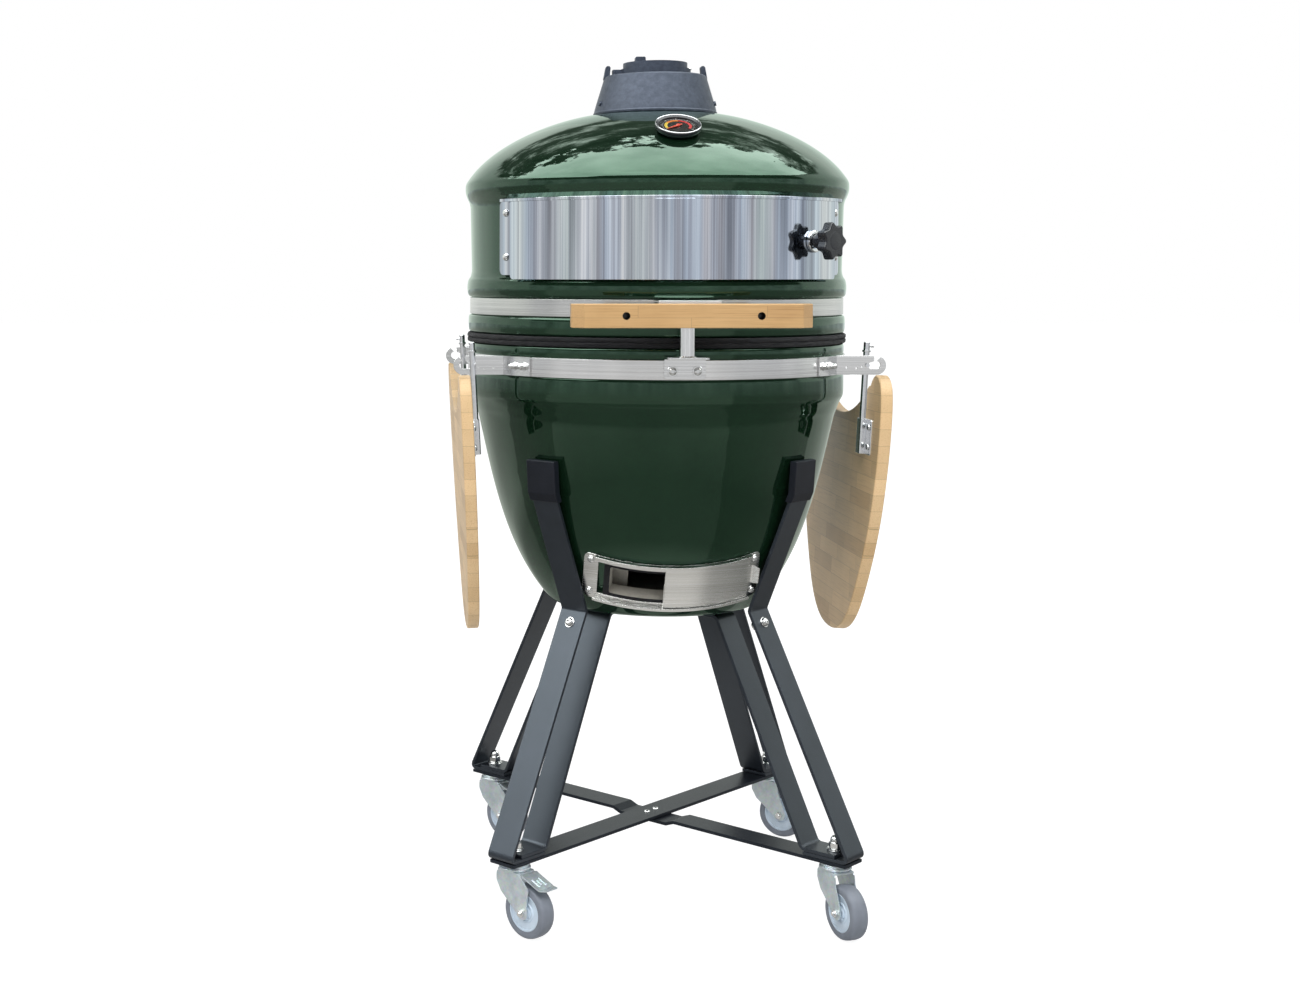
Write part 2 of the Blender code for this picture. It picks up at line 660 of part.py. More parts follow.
def hinge_bracket(name, plate_low, plate_high, lug_x, lug_root, boss_start, boss_end):
    """Plate with two lugs; a lug is its (y, z) root points and a boss round the pin."""
    boss = arc(HINGE_Y, HINGE_Z, 0.0110, radians(boss_start), radians(boss_end), 8)
    outlines = [lug_root + boss, circle(HINGE_Y, HINGE_Z, HINGE_R + 0.0004)]
    pieces = [block("hinge_plate", plate_low, plate_high, STEEL)]
    for x in (lug_x, -lug_x):
        pieces.append(prism("hinge_lug", outlines, 0.0015, STEEL,
                            basis((x, 0, 0), Y_AXIS, Z_AXIS)))
    fuse(name, pieces)


hinge_bracket("hinge_lower_bracket",
              plate_low=(-0.050, 0.2806, 0.7780), plate_high=(0.050, 0.2836, 0.8044),
              lug_x=0.0320, lug_root=[(0.2830, 0.8044), (0.2830, 0.7780), (0.2920, 0.7780)],
              boss_start=-45, boss_end=150)
hinge_bracket("hinge_upper_bracket",
              plate_low=(-0.050, 0.2778, 0.8630), plate_high=(0.050, 0.2806, 0.8865),
              lug_x=0.0370, lug_root=[(0.3040, 0.8865), (0.2800, 0.8865), (0.2800, 0.8640)],
              boss_start=-155, boss_end=40)
cylinder("hinge_pin", HINGE_R, -0.0470, 0.0470, CHROME,
         basis((0, HINGE_Y, HINGE_Z), Y_AXIS, Z_AXIS))


# =============================================================== side shelves
SHELF_X = 0.2815               # shelf pivot, distance from the body's axis
SHELF_Z = 0.7915
SHELF_Y = 0.1525               # bracket arms
SHELF_TILT = radians(3.0)      # the hanging shelves swing in at the bottom
ROD_OFFSET_Y = 0.0070          # towards the rear on the right, the front on the left

BRACKET_R = 0.2820             # bracket foot, following the body
BRACKET_START = radians(46.0)
BRACKET_END = radians(56.6)
# bracket edge seen from the side, (x, height above the pivot)
BRACKET_SIDE = (
    [(0.1900, -0.0135), (0.2950, -0.0135)]
    + arc(0.2950, 0.0, 0.0135, -pi / 2, radians(62), 7)
    + [(0.2955, 0.0060)]
    + arc(0.2950, 0.0005, 0.0055, radians(80), -pi / 2, 5)
    + [(0.2880, -0.0050)]
    + arc(0.2875, 0.0000, 0.0050, -pi / 2, -pi, 3)
    + [(0.2830, 0.0030), (0.2900, 0.0050), (0.2915, 0.0065), (0.2915, 0.0135), (0.1900, 0.0135)]
)

SLEEVE_Z = (0.6650, 0.7150)
BOARD_IN = 0.2870              # inner face of the board
BOARD_T = 0.017
BOARD_ARC_R = 0.2543           # top edge of the board
BOARD_ARC_HALF = 0.1480
BOARD_ARC_BOTTOM = 0.7150
BOARD_ARC_STEPS = 20
# rounded horn and side down to the pointed foot, (y, z)
BOARD_SIDE = [
    (0.1560, 0.7632), (0.1610, 0.7690), (0.1670, 0.7742), (0.1750, 0.7782), (0.1840, 0.7795),
    (0.1980, 0.7745), (0.2095, 0.7640), (0.2155, 0.7480), (0.2180, 0.7280), (0.2182, 0.7050),
    (0.2160, 0.6720), (0.2110, 0.6400), (0.2040, 0.6080), (0.1945, 0.5760), (0.1805, 0.5420),
    (0.1635, 0.5090), (0.1410, 0.4720), (0.1150, 0.4370), (0.0880, 0.4130), (0.0600, 0.3980),
    (0.0300, 0.3900),
]
BOARD_FOOT = (0.0, 0.3880)


def shelf_bracket(name, side_x, side_y):
    """Built at the front right as plan and side outlines intersected, then mirrored."""
    path = []
    for i in range(4):
        a = BRACKET_START + (BRACKET_END - BRACKET_START) * i / 4
        path.append((BRACKET_R * sin(a), -BRACKET_R * cos(a)))
    path += [(0.2370, -SHELF_Y), (0.3120, -SHELF_Y)]
    plan = prism(name + "_plan", [strip_outline(path, 0.003)], 0.0140, STEEL,
                 shift(0, 0, SHELF_Z))
    side = prism(name + "_side", [BRACKET_SIDE], 0.060, STEEL,
                 basis((0, -0.175, SHELF_Z), X_AXIS, Z_AXIS))
    add_boolean(plan, side, "INTERSECT")
    bracket = baked(freeze(plan, name))
    bpy.data.objects.remove(side, do_unlink=True)
    for vertex in bracket.data.vertices:
        x, y, z = vertex.co
        vertex.co = (x * side_x, y * -side_y, z)
    recalc_normals(bracket.data)


def hung(side_x):
    """Turn about the shelf's pivot, so that its bottom swings in."""
    pivot = shift(side_x * SHELF_X, 0, SHELF_Z)
    return pivot @ Matrix.Rotation(side_x * SHELF_TILT, 4, "Y") @ pivot.inverted()


def shelf_rod(name, side_x, side_y):
    """Shelf rod with its catch, and a foot sleeve with a flange flat on the board."""
    x = side_x * SHELF_X
    y = side_y * SHELF_Y + side_x * ROD_OFFSET_Y
    foot = shift(x, y, 0)
    # the catch points away from the body
    catch_axes = (Y_AXIS, Z_AXIS) if side_x > 0 else (Z_AXIS, Y_AXIS)
    x0, x1 = sorted((side_x * 0.0034, side_x * 0.0052))
    y0, y1 = sorted((side_y * 0.0080, side_y * 0.0340))
    z0, z1 = SLEEVE_Z
    rod = fuse(name, [
        cylinder("rod_shaft", 0.0045, 0.672, 0.8250, CHROME, foot, 14),
        cylinder("rod_catch", 0.0022, 0.0, 0.0100, CHROME, basis((x, y, 0.8190), *catch_axes), 8),
        block("rod_sleeve", (-0.0052, -0.0100, z0), (0.0052, 0.0100, z1), CHROME, foot),
        block("rod_flange", (x0, y0, z0), (x1, y1, z1), CHROME, foot),
    ])
    rod.matrix_world = hung(side_x)


def shelf_board(name, side_x):
    """Upright board: hollow arc on top, a rounded horn each side, a pointed foot."""
    top = []
    for i in range(BOARD_ARC_STEPS + 1):
        y = -BOARD_ARC_HALF + 2 * BOARD_ARC_HALF * i / BOARD_ARC_STEPS
        top.append((y, BOARD_ARC_BOTTOM + BOARD_ARC_R - sqrt(BOARD_ARC_R ** 2 - y * y)))
    outline = top + BOARD_SIDE + [BOARD_FOOT] + [(-y, z) for y, z in BOARD_SIDE[::-1]]
    board = prism(name, [outline], BOARD_T / 2, BAMBOO)
    board.matrix_world = hung(side_x) @ basis((side_x * (BOARD_IN + BOARD_T / 2), 0, 0),
                                              Y_AXIS, Z_AXIS)


for tag, (side_x, side_y, _, _) in CORNERS.items():
    shelf_bracket("shelf_bracket_" + tag, side_x, side_y)
    shelf_rod("shelf_rod_" + tag, side_x, side_y)
shelf_board("shelf_board_left", -1)
shelf_board("shelf_board_right", 1)


# ======================================================================= cart
# Flat bars; paths are (distance from the body's axis, height) of the bar's middle.
BAR_W = 0.045
BAR_T = 0.005
BAR_BEND = 0.010
Z_BRACE = 0.100                # underside of the crossing brace bars
Z_BRACE_MID = Z_BRACE + BAR_T / 2
BAR_STACK = BAR_T + GAP        # height step between bars that lie on each other
Z_OUTER_TAB = Z_BRACE_MID + BAR_STACK
Z_INNER_TAB = Z_OUTER_TAB + BAR_STACK
BRACE_END = 0.3460

ARM_TIP = Vector((0.2602, 0.6560))
ARM_KNEE = Vector((0.2568, 0.6120))
OUTER_LEG = [tuple(ARM_TIP), tuple(ARM_KNEE), (0.1865, 0.4370), (0.3500, Z_OUTER_TAB),
             (0.2780, Z_OUTER_TAB)]
# arm cap: distance down the arm from its tip, shift away from the axis
CAP_STATIONS = [(-0.0030, 0.0), (0.0440, 0.0), (0.0560, -0.0045)]
CAP_OUTER = 0.0056             # faces of the cap, from the middle of the bar
CAP_INNER = -0.0048
JOGGLE = [(0.0, Z_BRACE_MID - BAR_STACK), (0.0420, Z_BRACE_MID - BAR_STACK),
          (0.0560, Z_BRACE_MID), (BRACE_END, Z_BRACE_MID)]


def bent_bar(name, path, azimuth, bend=BAR_BEND, n=3):
    prism(name, [strip_outline(bent_path(path, bend, n), BAR_T)], BAR_W / 2, BLACK,
          radial(azimuth))


def arm_cap(tag, azimuth):
    down = (ARM_KNEE - ARM_TIP).normalized()
    outward = Vector((-down.y, down.x))
    outer, inner = [
        [tuple(ARM_TIP + down * t + outward * face + Vector((kick, 0)))
         for t, kick in CAP_STATIONS]
        for face in (CAP_OUTER, CAP_INNER)]
    cap = prism("arm_cap_" + tag, [outer + inner[::-1]], BAR_W / 2 + 0.0028, CAP_RUBBER,
                radial(azimuth))
    arm_path = [tuple(ARM_TIP - down * 0.0004), tuple(ARM_KNEE), (0.2260, 0.5350)]
    pocket = prism("cut_cap_" + tag, [strip_outline(arm_path, BAR_T + 0.0008)],
                   BAR_W / 2 + 0.0004, matrix=radial(azimuth), coll=tools)
    cut(cap, pocket)


def inner_frame(name, azimuth, z_top):
    half = [(0.0, z_top), (0.1300, z_top), (0.2760, Z_INNER_TAB), (0.3290, Z_INNER_TAB)]
    bent_bar(name, mirrored(half), azimuth)


def straight_brace():
    x, y = BRACE_END, BAR_W / 2
    prism("cart_brace_straight", [[(-x, -y), (x, -y), (x, y), (-x, y)]], BAR_T / 2, BLACK,
          shift(0, 0, Z_BRACE_MID) @ Matrix.Rotation(FL_AZIMUTH, 4, "Z"))


for tag, (_, _, azimuth, _) in CORNERS.items():
    bent_bar("cart_outer_leg_" + tag, OUTER_LEG, azimuth)
    arm_cap(tag, azimuth)
inner_frame("cart_inner_frame_A", FL_AZIMUTH, 0.4271)
inner_frame("cart_inner_frame_B", FR_AZIMUTH, 0.4216)
# the straight brace passes over the joggled one
straight_brace()
bent_bar("cart_brace_joggled", mirrored(JOGGLE), FR_AZIMUTH, bend=0.006, n=2)


# ==================================================================== casters
# Caster frame: origin on the floor under the swivel, the wheel trails along local X.
CASTER_X = 0.2244              # swivel axes, plus and minus in X and Y
WHEEL_R = 0.0375
WHEEL_HALF = 0.0125
CASTER_TRAIL = 0.028
AXLE_FRAME = basis((CASTER_TRAIL, 0, WHEEL_R), Z_AXIS, X_AXIS)

# fork cheek, (x, z); the upper trailing corner differs on braked casters
CHEEK = ([(-0.0200, 0.0885), (-0.0200, 0.0740), (-0.0120, 0.0600)]
         + arc(CASTER_TRAIL, WHEEL_R, 0.0095, radians(200), radians(360), 5)
         + [(0.0360, 0.0460)])
BRAKED_CORNER = [(0.0400, 0.0720), (0.0240, 0.0885)]
PLAIN_CORNER = [(0.0250, 0.0740), (0.0230, 0.0885)]
SWIVEL_HEAD = [
    (0.0, 0.0996), (0.0185, 0.0996), (0.0190, 0.0960), (0.0218, 0.0955),
    (0.0218, 0.0920), (0.0190, 0.0898), (0.0, 0.0898),
]
WHEEL = [
    (0.0345, WHEEL_HALF), (WHEEL_R, 0.0035), (WHEEL_R, -0.0035), (0.0345, -WHEEL_HALF),
    (0.0265, -WHEEL_HALF), (0.0250, -WHEEL_HALF + 0.0025), (0.0046, -WHEEL_HALF + 0.0015),
    (0.0046, WHEEL_HALF - 0.0015), (0.0250, WHEEL_HALF - 0.0025), (0.0265, WHEEL_HALF),
]
PEDAL = [(0.0262, 0.0890), (0.0300, 0.0870), (0.0590, 0.0755), (0.0700, 0.0768)]


def attach(ob, axis, matrix=Matrix.Identity(4)):
    """Parent to the swivel axis, placed in the caster frame."""
    ob.parent = axis
    ob.matrix_world = axis.matrix_world @ matrix


def caster_fork(name, braked):
    cheek = CHEEK + (BRAKED_CORNER if braked else PLAIN_CORNER)
    top = prism("fork_top", [rounded_rect(-0.0200, -0.0166, 0.0236, 0.0166, 0.004, 1)],
                0.0011, ZINC, shift(0, 0, 0.0892))
    cheeks = [prism("fork_leg", [cheek], 0.0010, ZINC,
                    basis((0, side * 0.0156, 0), X_AXIS, Z_AXIS))
              for side in (1, -1)]
    head = freeze(revolve("fork_head", SWIVEL_HEAD, ZINC, closed=False, steps=16))
    axle = cylinder("fork_axle", 0.0040, -0.0152, 0.0152, ZINC, AXLE_FRAME, 12)
    return fuse(name, [top] + cheeks + [head, axle])


def caster(tag, side_x, side_y, swivel):
    axis = bpy.data.objects.new("caster_axis_" + tag, None)
    parts.objects.link(axis)
    axis.location = (side_x * CASTER_X, side_y * CASTER_X, 0)
    axis.rotation_euler = (0, 0, swivel)
    # the world matrix must be current before children are placed by it
    bpy.context.view_layer.update()
    braked = side_x < 0
    attach(caster_fork("caster_fork_" + tag, braked), axis)
    attach(revolve("caster_wheel_" + tag, WHEEL, TYRE, steps=24), axis, AXLE_FRAME)
    if braked:
        pedal = prism("brake_pedal_" + tag,
                      [strip_outline(bent_path(PEDAL, 0.004, 2), 0.0018)], 0.0160, ZINC)
        attach(pedal, axis, basis((0, 0, 0), X_AXIS, Z_AXIS))


for tag, (side_x, side_y, _, swivel) in CORNERS.items():
    caster(tag, side_x, side_y, swivel)

for ob in parts.objects:
    if isinstance(ob.data, bpy.types.Mesh):
        ob.data.shade_smooth()
        ob.data.set_sharp_from_angle(angle=SMOOTH_ANGLE)
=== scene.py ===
from math import pi, sin, cos, tan, sqrt, radians, atan2

import bmesh
import bpy
from mathutils import Matrix, Vector, noise


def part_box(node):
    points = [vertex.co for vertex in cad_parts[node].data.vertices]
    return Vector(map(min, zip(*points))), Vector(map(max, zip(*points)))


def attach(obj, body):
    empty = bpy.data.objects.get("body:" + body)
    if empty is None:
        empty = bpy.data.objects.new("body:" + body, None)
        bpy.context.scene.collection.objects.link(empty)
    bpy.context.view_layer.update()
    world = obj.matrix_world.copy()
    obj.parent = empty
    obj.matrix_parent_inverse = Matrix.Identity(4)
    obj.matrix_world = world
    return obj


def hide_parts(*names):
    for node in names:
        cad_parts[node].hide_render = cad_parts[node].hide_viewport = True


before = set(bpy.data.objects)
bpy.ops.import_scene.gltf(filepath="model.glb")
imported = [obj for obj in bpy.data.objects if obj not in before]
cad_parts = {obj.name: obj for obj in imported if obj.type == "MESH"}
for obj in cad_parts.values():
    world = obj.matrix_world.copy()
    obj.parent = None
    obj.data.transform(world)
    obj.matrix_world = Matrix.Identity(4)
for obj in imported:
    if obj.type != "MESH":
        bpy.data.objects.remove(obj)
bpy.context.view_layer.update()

# ------------------------------------------------------------ design numbers
Z_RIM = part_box("base_bowl")[1].z            # top of the bowl
Z_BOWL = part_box("base_bowl")[0].z           # underside of the bowl
Z_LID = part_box("lid_dome")[0].z             # rim of the lid
Z_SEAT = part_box("lid_dome")[1].z            # damper seat
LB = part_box("lower_band")
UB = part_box("upper_band")
R_LB, R_UB = LB[1].x, UB[1].x               # outer radii of the bands
SHELF_X = 0.2815
SHELF_Z = 0.7915
SHELF_Y = 0.1525
SHELF_TILT = radians(3.0)
BOARD_IN, BOARD_T = 0.2870, 0.0170
Z_BRACE_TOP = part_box("cart_brace_straight")[1].z
CASTER_X = 0.2244
WHEEL_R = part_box("caster_wheel_FL")[1].z / 2
CASTER_DEG = {"FL": -47.0, "FR": -71.0, "RL": -47.0, "RR": -34.0}
CORNERS = {"FL": radians(225), "FR": radians(315), "RL": radians(135), "RR": radians(45)}
BAR_T, BAR_W = 0.005, 0.045
DOOR_R = 0.2785
DOOR_HALF, PANEL_HALF = radians(60.0), radians(53.4)
KNOB_AZ, KNOB_Z = radians(41.0), 0.967
TILT = radians(26.0)
DRAFT_R = 0.222
HINGE_Y, HINGE_Z = 0.341, 0.833
DN = Vector((0, -cos(TILT), -sin(TILT)))
DG = Vector((0, -sin(TILT), cos(TILT)))
DA = Vector((0, -0.1935, 0.4798)) - DN * DRAFT_R
THERMO_N = Vector((0, -sin(radians(28.4)), cos(radians(28.4))))
THERMO_P = Vector((0, -0.2111, 1.1202))


# ----------------------------------------------------------------- materials
class Mat:
    """A Principled material with a few helpers for wiring procedural nodes."""

    def __init__(self, name, **values):
        self.m = bpy.data.materials.new(name)
        self.m.use_nodes = True
        self.t = self.m.node_tree
        self.b = self.t.nodes["Principled BSDF"]
        for k, v in values.items():
            self.set(k.replace("_", " "), v)
        self._co = None

    def set(self, key, v):
        sock = self.b.inputs[key]
        if hasattr(v, "is_linked"):
            self.t.links.new(v, sock)
        elif isinstance(v, tuple) and len(v) == 3 and sock.type == "RGBA":
            sock.default_value = (*v, 1.0)
        else:
            sock.default_value = v

    def node(self, kind, ins=None, **attrs):
        n = self.t.nodes.new(kind)
        for k, v in attrs.items():
            setattr(n, k, v)
        for k, v in (ins or {}).items():
            s = n.inputs[k]
            if hasattr(v, "is_linked"):
                self.t.links.new(v, s)
            elif isinstance(v, tuple) and len(v) == 3 and s.type == "RGBA":
                s.default_value = (*v, 1.0)
            else:
                s.default_value = v
        return n

    @property
    def co(self):
        if self._co is None:
            self._co = self.node("ShaderNodeTexCoord").outputs["Object"]
        return self._co

    def scaled(self, sx, sy, sz, vec=None, rot=(0, 0, 0)):
        return self.node("ShaderNodeMapping", {"Vector": vec or self.co, "Scale": (sx, sy, sz), "Rotation": rot}).outputs[0]

    def noise(self, vec, scale=1.0, detail=3.0, rough=0.5, w=None):
        n = self.node("ShaderNodeTexNoise", {"Vector": vec, "Scale": scale, "Detail": detail, "Roughness": rough})
        return n.outputs["Fac"]

    def ramp(self, fac, stops):
        n = self.node("ShaderNodeValToRGB", {"Fac": fac})
        r = n.color_ramp
        while len(r.elements) < len(stops):
            r.elements.new(0.5)
        for e, (p, c) in zip(r.elements, stops):
            e.position = p
            e.color = (*c, 1.0) if isinstance(c, tuple) else (c, c, c, 1.0)
        return n.outputs["Color"]

    def mix(self, fac, a, b, mode="MIX"):
        n = self.node("ShaderNodeMix", {0: fac, 6: a, 7: b}, data_type="RGBA", blend_type=mode)
        return n.outputs[2]

    def math(self, op, a, b=0.0, c=0.0):
        n = self.node("ShaderNodeMath", {0: a, 1: b, 2: c}, operation=op)
        return n.outputs[0]

    def bump(self, height, strength=0.2, dist=0.0005, normal=None):
        ins = {"Height": height, "Strength": strength, "Distance": dist}
        if normal is not None:
            ins["Normal"] = normal
        out = self.node("ShaderNodeBump", ins).outputs[0]
        self.t.links.new(out, self.b.inputs["Normal"])
        return out

    def round_co(self, radius):
        """Coordinates round the vertical axis: arc length, distance out, height."""
        s = self.node("ShaderNodeSeparateXYZ", {0: self.co})
        ang = self.math("ARCTAN2", s.outputs[0], self.math("MULTIPLY", s.outputs[1], -1.0))
        r = self.math("SQRT", self.math("ADD", self.math("MULTIPLY", s.outputs[0], s.outputs[0]),
                                        self.math("MULTIPLY", s.outputs[1], s.outputs[1])))
        c = self.node("ShaderNodeCombineXYZ", {0: self.math("MULTIPLY", ang, radius), 1: r, 2: s.outputs[2]})
        return c.outputs[0]


def glaze():
    m = Mat("green_glaze_fine", Roughness=0.03, Coat_Weight=0.34, Coat_Roughness=0.02)
    pool = m.noise(m.scaled(1, 1, 1), 9.0, 4.0, 0.55)
    speck = m.noise(m.scaled(1, 1, 1), 220.0, 2.0, 0.6)
    col = m.ramp(pool, [(0.25, (0.004, 0.014, 0.007)), (0.55, (0.006, 0.018, 0.009)), (0.80, (0.008, 0.023, 0.012))])
    dark = m.ramp(speck, [(0.30, 0.80), (0.60, 1.0)])
    m.set("Base Color", m.mix(1.0, col, dark, "MULTIPLY"))
    m.set("Specular IOR Level", 0.60)
    m.set("Specular Tint", (0.58, 1.0, 0.74))
    m.set("Coat Tint", (0.62, 1.0, 0.76))
    h = m.math("ADD", m.math("MULTIPLY", m.noise(m.co, 26.0, 2.0, 0.5), 1.0), m.math("MULTIPLY", speck, 0.03))
    m.bump(h, 0.25, 0.0006)
    return m.m


def brushed(name, radius=None, tint=(0.60, 0.60, 0.59), rough=0.26, axis="X", depth=0.06):
    m = Mat(name, Metallic=1.0)
    if radius:
        v = m.scaled(4, 1, 900, m.round_co(radius))
        w = m.scaled(1.5, 1, 60, m.round_co(radius))
    else:
        s = {"X": (4, 700, 700), "Y": (700, 4, 700), "Z": (700, 700, 4)}[axis]
        v = m.scaled(*s)
        w = m.scaled(*[x / 14 for x in s])
    fine = m.noise(v, 1.0, 3.0, 0.65)
    broad = m.noise(w, 1.0, 3.0, 0.6)
    col = m.mix(1.0, m.ramp(fine, [(0.30, tuple(t * 0.80 for t in tint)), (0.70, tuple(min(1, t * 1.18) for t in tint))]),
                m.ramp(broad, [(0.30, 0.86), (0.70, 1.0)]), "MULTIPLY")
    m.set("Base Color", col)
    m.set("Roughness", m.math("ADD", rough - 0.08, m.math("MULTIPLY", fine, 0.16)))
    m.bump(fine, depth, 0.0003)
    return m.m


def mirror_sheet():
    """Polished sheet: fine upright drawing lines, and broad upright bands of painted reflection in its colour."""
    m = Mat("polished_sheet", Metallic=1.0)
    rc = m.round_co(DOOR_R)
    fine = m.noise(m.scaled(900, 1, 2.0, rc), 1.0, 3.0, 0.7)
    mid = m.noise(m.scaled(110, 1, 0.3, rc), 1.0, 4.0, 0.75)
    broad = m.noise(m.scaled(15, 1, 0.15, rc), 1.0, 2.0, 0.5)
    lines = m.ramp(fine, [(0.25, 0.84), (0.5, 0.96), (0.75, 1.0)])
    # painted reflection: upright light and dark bands, and mauve, bluish and greenish tints, put into the base colour
    painted_reflection_bands = m.ramp(mid, [(0.33, (0.34, 0.34, 0.37)), (0.44, (0.50, 0.51, 0.55)), (0.55, (0.68, 0.70, 0.74)), (0.68, (0.90, 0.90, 0.90))])
    painted_reflection_tints = m.ramp(broad, [(0.34, (0.80, 0.72, 0.68)), (0.45, (0.80, 0.88, 0.97)), (0.55, (1.0, 1.0, 1.0)), (0.66, (0.80, 0.88, 0.84))])
    m.set("Base Color", m.mix(1.0, m.mix(1.0, lines, painted_reflection_bands, "MULTIPLY"), painted_reflection_tints, "MULTIPLY"))
    m.set("Roughness", m.math("ADD", 0.05, m.math("MULTIPLY", fine, 0.08)))
    m.bump(m.math("ADD", m.math("MULTIPLY", fine, 0.10), m.noise(m.scaled(40, 1, 0.6, rc), 1.0, 2.0, 0.5)), 0.08, 0.0005)
    return m.m


def plated(name, tint=(0.74, 0.75, 0.77), rough=0.10):
    m = Mat(name, Metallic=1.0)
    n = m.noise(m.co, 160.0, 3.0, 0.6)
    m.set("Base Color", m.ramp(n, [(0.3, tuple(t * 0.88 for t in tint)), (0.7, tint)]))
    m.set("Roughness", m.math("ADD", rough, m.math("MULTIPLY", n, 0.08)))
    m.bump(n, 0.04, 0.0003)
    return m.m


def zinc():
    m = Mat("zinc_cloudy", Metallic=0.62)
    big = m.noise(m.co, 55.0, 4.0, 0.6)
    grain = m.node("ShaderNodeTexVoronoi", {"Vector": m.co, "Scale": 260.0}).outputs["Color"]
    col = m.ramp(big, [(0.28, (0.56, 0.63, 0.66)), (0.5, (0.68, 0.75, 0.78)), (0.72, (0.80, 0.86, 0.88))])
    m.set("Base Color", m.mix(0.10, col, grain, "MULTIPLY"))
    m.set("Roughness", m.math("ADD", 0.26, m.math("MULTIPLY", big, 0.22)))
    m.bump(m.noise(m.co, 420.0, 2.0, 0.6), 0.12, 0.0003)
    return m.m


def powder(name="black_powder"):
    m = Mat(name)
    n = m.noise(m.co, 900.0, 2.0, 0.6)
    big = m.noise(m.co, 14.0, 4.0, 0.6)
    m.set("Base Color", m.ramp(big, [(0.3, (0.009, 0.011, 0.015)), (0.7, (0.017, 0.020, 0.027))]))
    m.set("Roughness", m.math("ADD", 0.30, m.math("MULTIPLY", n, 0.14)))
    m.set("Specular IOR Level", 0.85)
    m.set("Specular Tint", (0.76, 0.87, 1.0))
    m.bump(n, 0.22, 0.0004)
    return m.m


def iron():
    m = Mat("cast_iron_fine", Metallic=0.35)
    grain = m.noise(m.co, 520.0, 4.0, 0.7)
    wrinkle = m.noise(m.co, 120.0, 3.0, 0.6)
    m.set("Base Color", m.ramp(wrinkle, [(0.3, (0.044, 0.055, 0.080)), (0.7, (0.074, 0.090, 0.126))]))
    m.set("Roughness", m.math("ADD", 0.38, m.math("MULTIPLY", grain, 0.20)))
    m.bump(m.math("ADD", grain, m.math("MULTIPLY", wrinkle, 0.8)), 0.45, 0.0006)
    return m.m


def felt():
    m = Mat("felt_fuzz", Roughness=0.95)
    fib = m.noise(m.scaled(1, 1, 1), 700.0, 4.0, 0.8)
    m.set("Base Color", m.ramp(fib, [(0.3, (0.002, 0.002, 0.003)), (0.6, (0.006, 0.006, 0.008)), (0.8, (0.016, 0.016, 0.020))]))
    m.set("Sheen Weight", 0.08)
    m.bump(fib, 0.8, 0.0012)
    return m.m


def rubber(name, col, rough=0.5, scale=500.0):
    m = Mat(name)
    n = m.noise(m.co, scale, 3.0, 0.6)
    b = m.noise(m.co, 30.0, 3.0, 0.5)
    m.set("Base Color", m.ramp(b, [(0.3, tuple(c * 0.85 for c in col)), (0.7, tuple(c * 1.2 for c in col))]))
    m.set("Roughness", m.math("ADD", rough - 0.06, m.math("MULTIPLY", n, 0.15)))
    m.bump(n, 0.25, 0.0004)
    return m.m


def bamboo(name, rows, length, plane, light=(0.74, 0.54, 0.32), dark=(0.50, 0.31, 0.15), contrast=1.0):
    """Glued strips: rows of strips with staggered ends, and long fine fibres."""
    m = Mat(name)
    s = m.node("ShaderNodeSeparateXYZ", {0: m.co})
    ax = {"X": s.outputs[0], "Y": s.outputs[1], "Z": s.outputs[2]}
    along, across = ax[plane[0]], ax[plane[1]]
    third = ax[[k for k in "XYZ" if k not in plane][0]]
    row = m.math("FLOOR", m.math("DIVIDE", across, rows))
    shift = m.node("ShaderNodeTexWhiteNoise", {"W": row}, noise_dimensions="1D").outputs["Value"]
    u = m.math("ADD", m.math("DIVIDE", along, length), m.math("MULTIPLY", shift, 7.3))
    cell = m.math("FLOOR", u)
    key = m.node("ShaderNodeCombineXYZ", {0: cell, 1: row, 2: 0.5})
    tone = m.node("ShaderNodeTexWhiteNoise", {"Vector": key.outputs[0]}, noise_dimensions="3D").outputs["Value"]
    fib_co = m.node("ShaderNodeCombineXYZ", {0: m.math("MULTIPLY", along, 14.0), 1: m.math("MULTIPLY", across, 620.0),
                                             2: m.math("ADD", m.math("MULTIPLY", third, 620.0), m.math("MULTIPLY", tone, 40.0))})
    fib = m.noise(fib_co.outputs[0], 1.0, 4.0, 0.65)
    cloud = m.noise(m.co, 16.0, 3.0, 0.5)
    mid = tuple((a + b) / 2 for a, b in zip(light, dark))
    base = m.ramp(tone, [(0.0, tuple(l + (d - l) * 0.75 * contrast for l, d in zip(light, dark))), (0.28, mid if contrast > 0.8 else light),
                         (0.55, light), (1.0, tuple(min(1, c * 1.12) for c in light))])
    col = m.mix(1.0, base, m.ramp(fib, [(0.30, (0.80, 0.74, 0.66)), (0.48, (0.97, 0.96, 0.94)), (0.7, (1.0, 1.0, 1.0))]), "MULTIPLY")
    col = m.mix(1.0, col, m.ramp(cloud, [(0.3, (0.90, 0.88, 0.84)), (0.7, (1.0, 1.0, 1.0))]), "MULTIPLY")
    fr_u = m.math("FRACT", u)
    fr_v = m.math("FRACT", m.math("DIVIDE", across, rows))
    edge_u = m.math("LESS_THAN", m.math("MULTIPLY", m.math("MINIMUM", fr_u, m.math("SUBTRACT", 1.0, fr_u)), length), 0.00035)
    edge_v = m.math("LESS_THAN", m.math("MULTIPLY", m.math("MINIMUM", fr_v, m.math("SUBTRACT", 1.0, fr_v)), rows), 0.00030)
    joint = m.math("MAXIMUM", edge_u, edge_v)
    col = m.mix(m.math("MULTIPLY", joint, 0.45), col, (0.26, 0.15, 0.07))
    m.set("Base Color", col)
    m.set("Roughness", m.math("ADD", 0.34, m.math("MULTIPLY", fib, 0.16)))
    m.set("Coat Weight", 0.15)
    m.set("Coat Roughness", 0.25)
    m.bump(m.math("SUBTRACT", m.math("MULTIPLY", fib, 0.5), joint), 0.18, 0.0004)
    return m.m


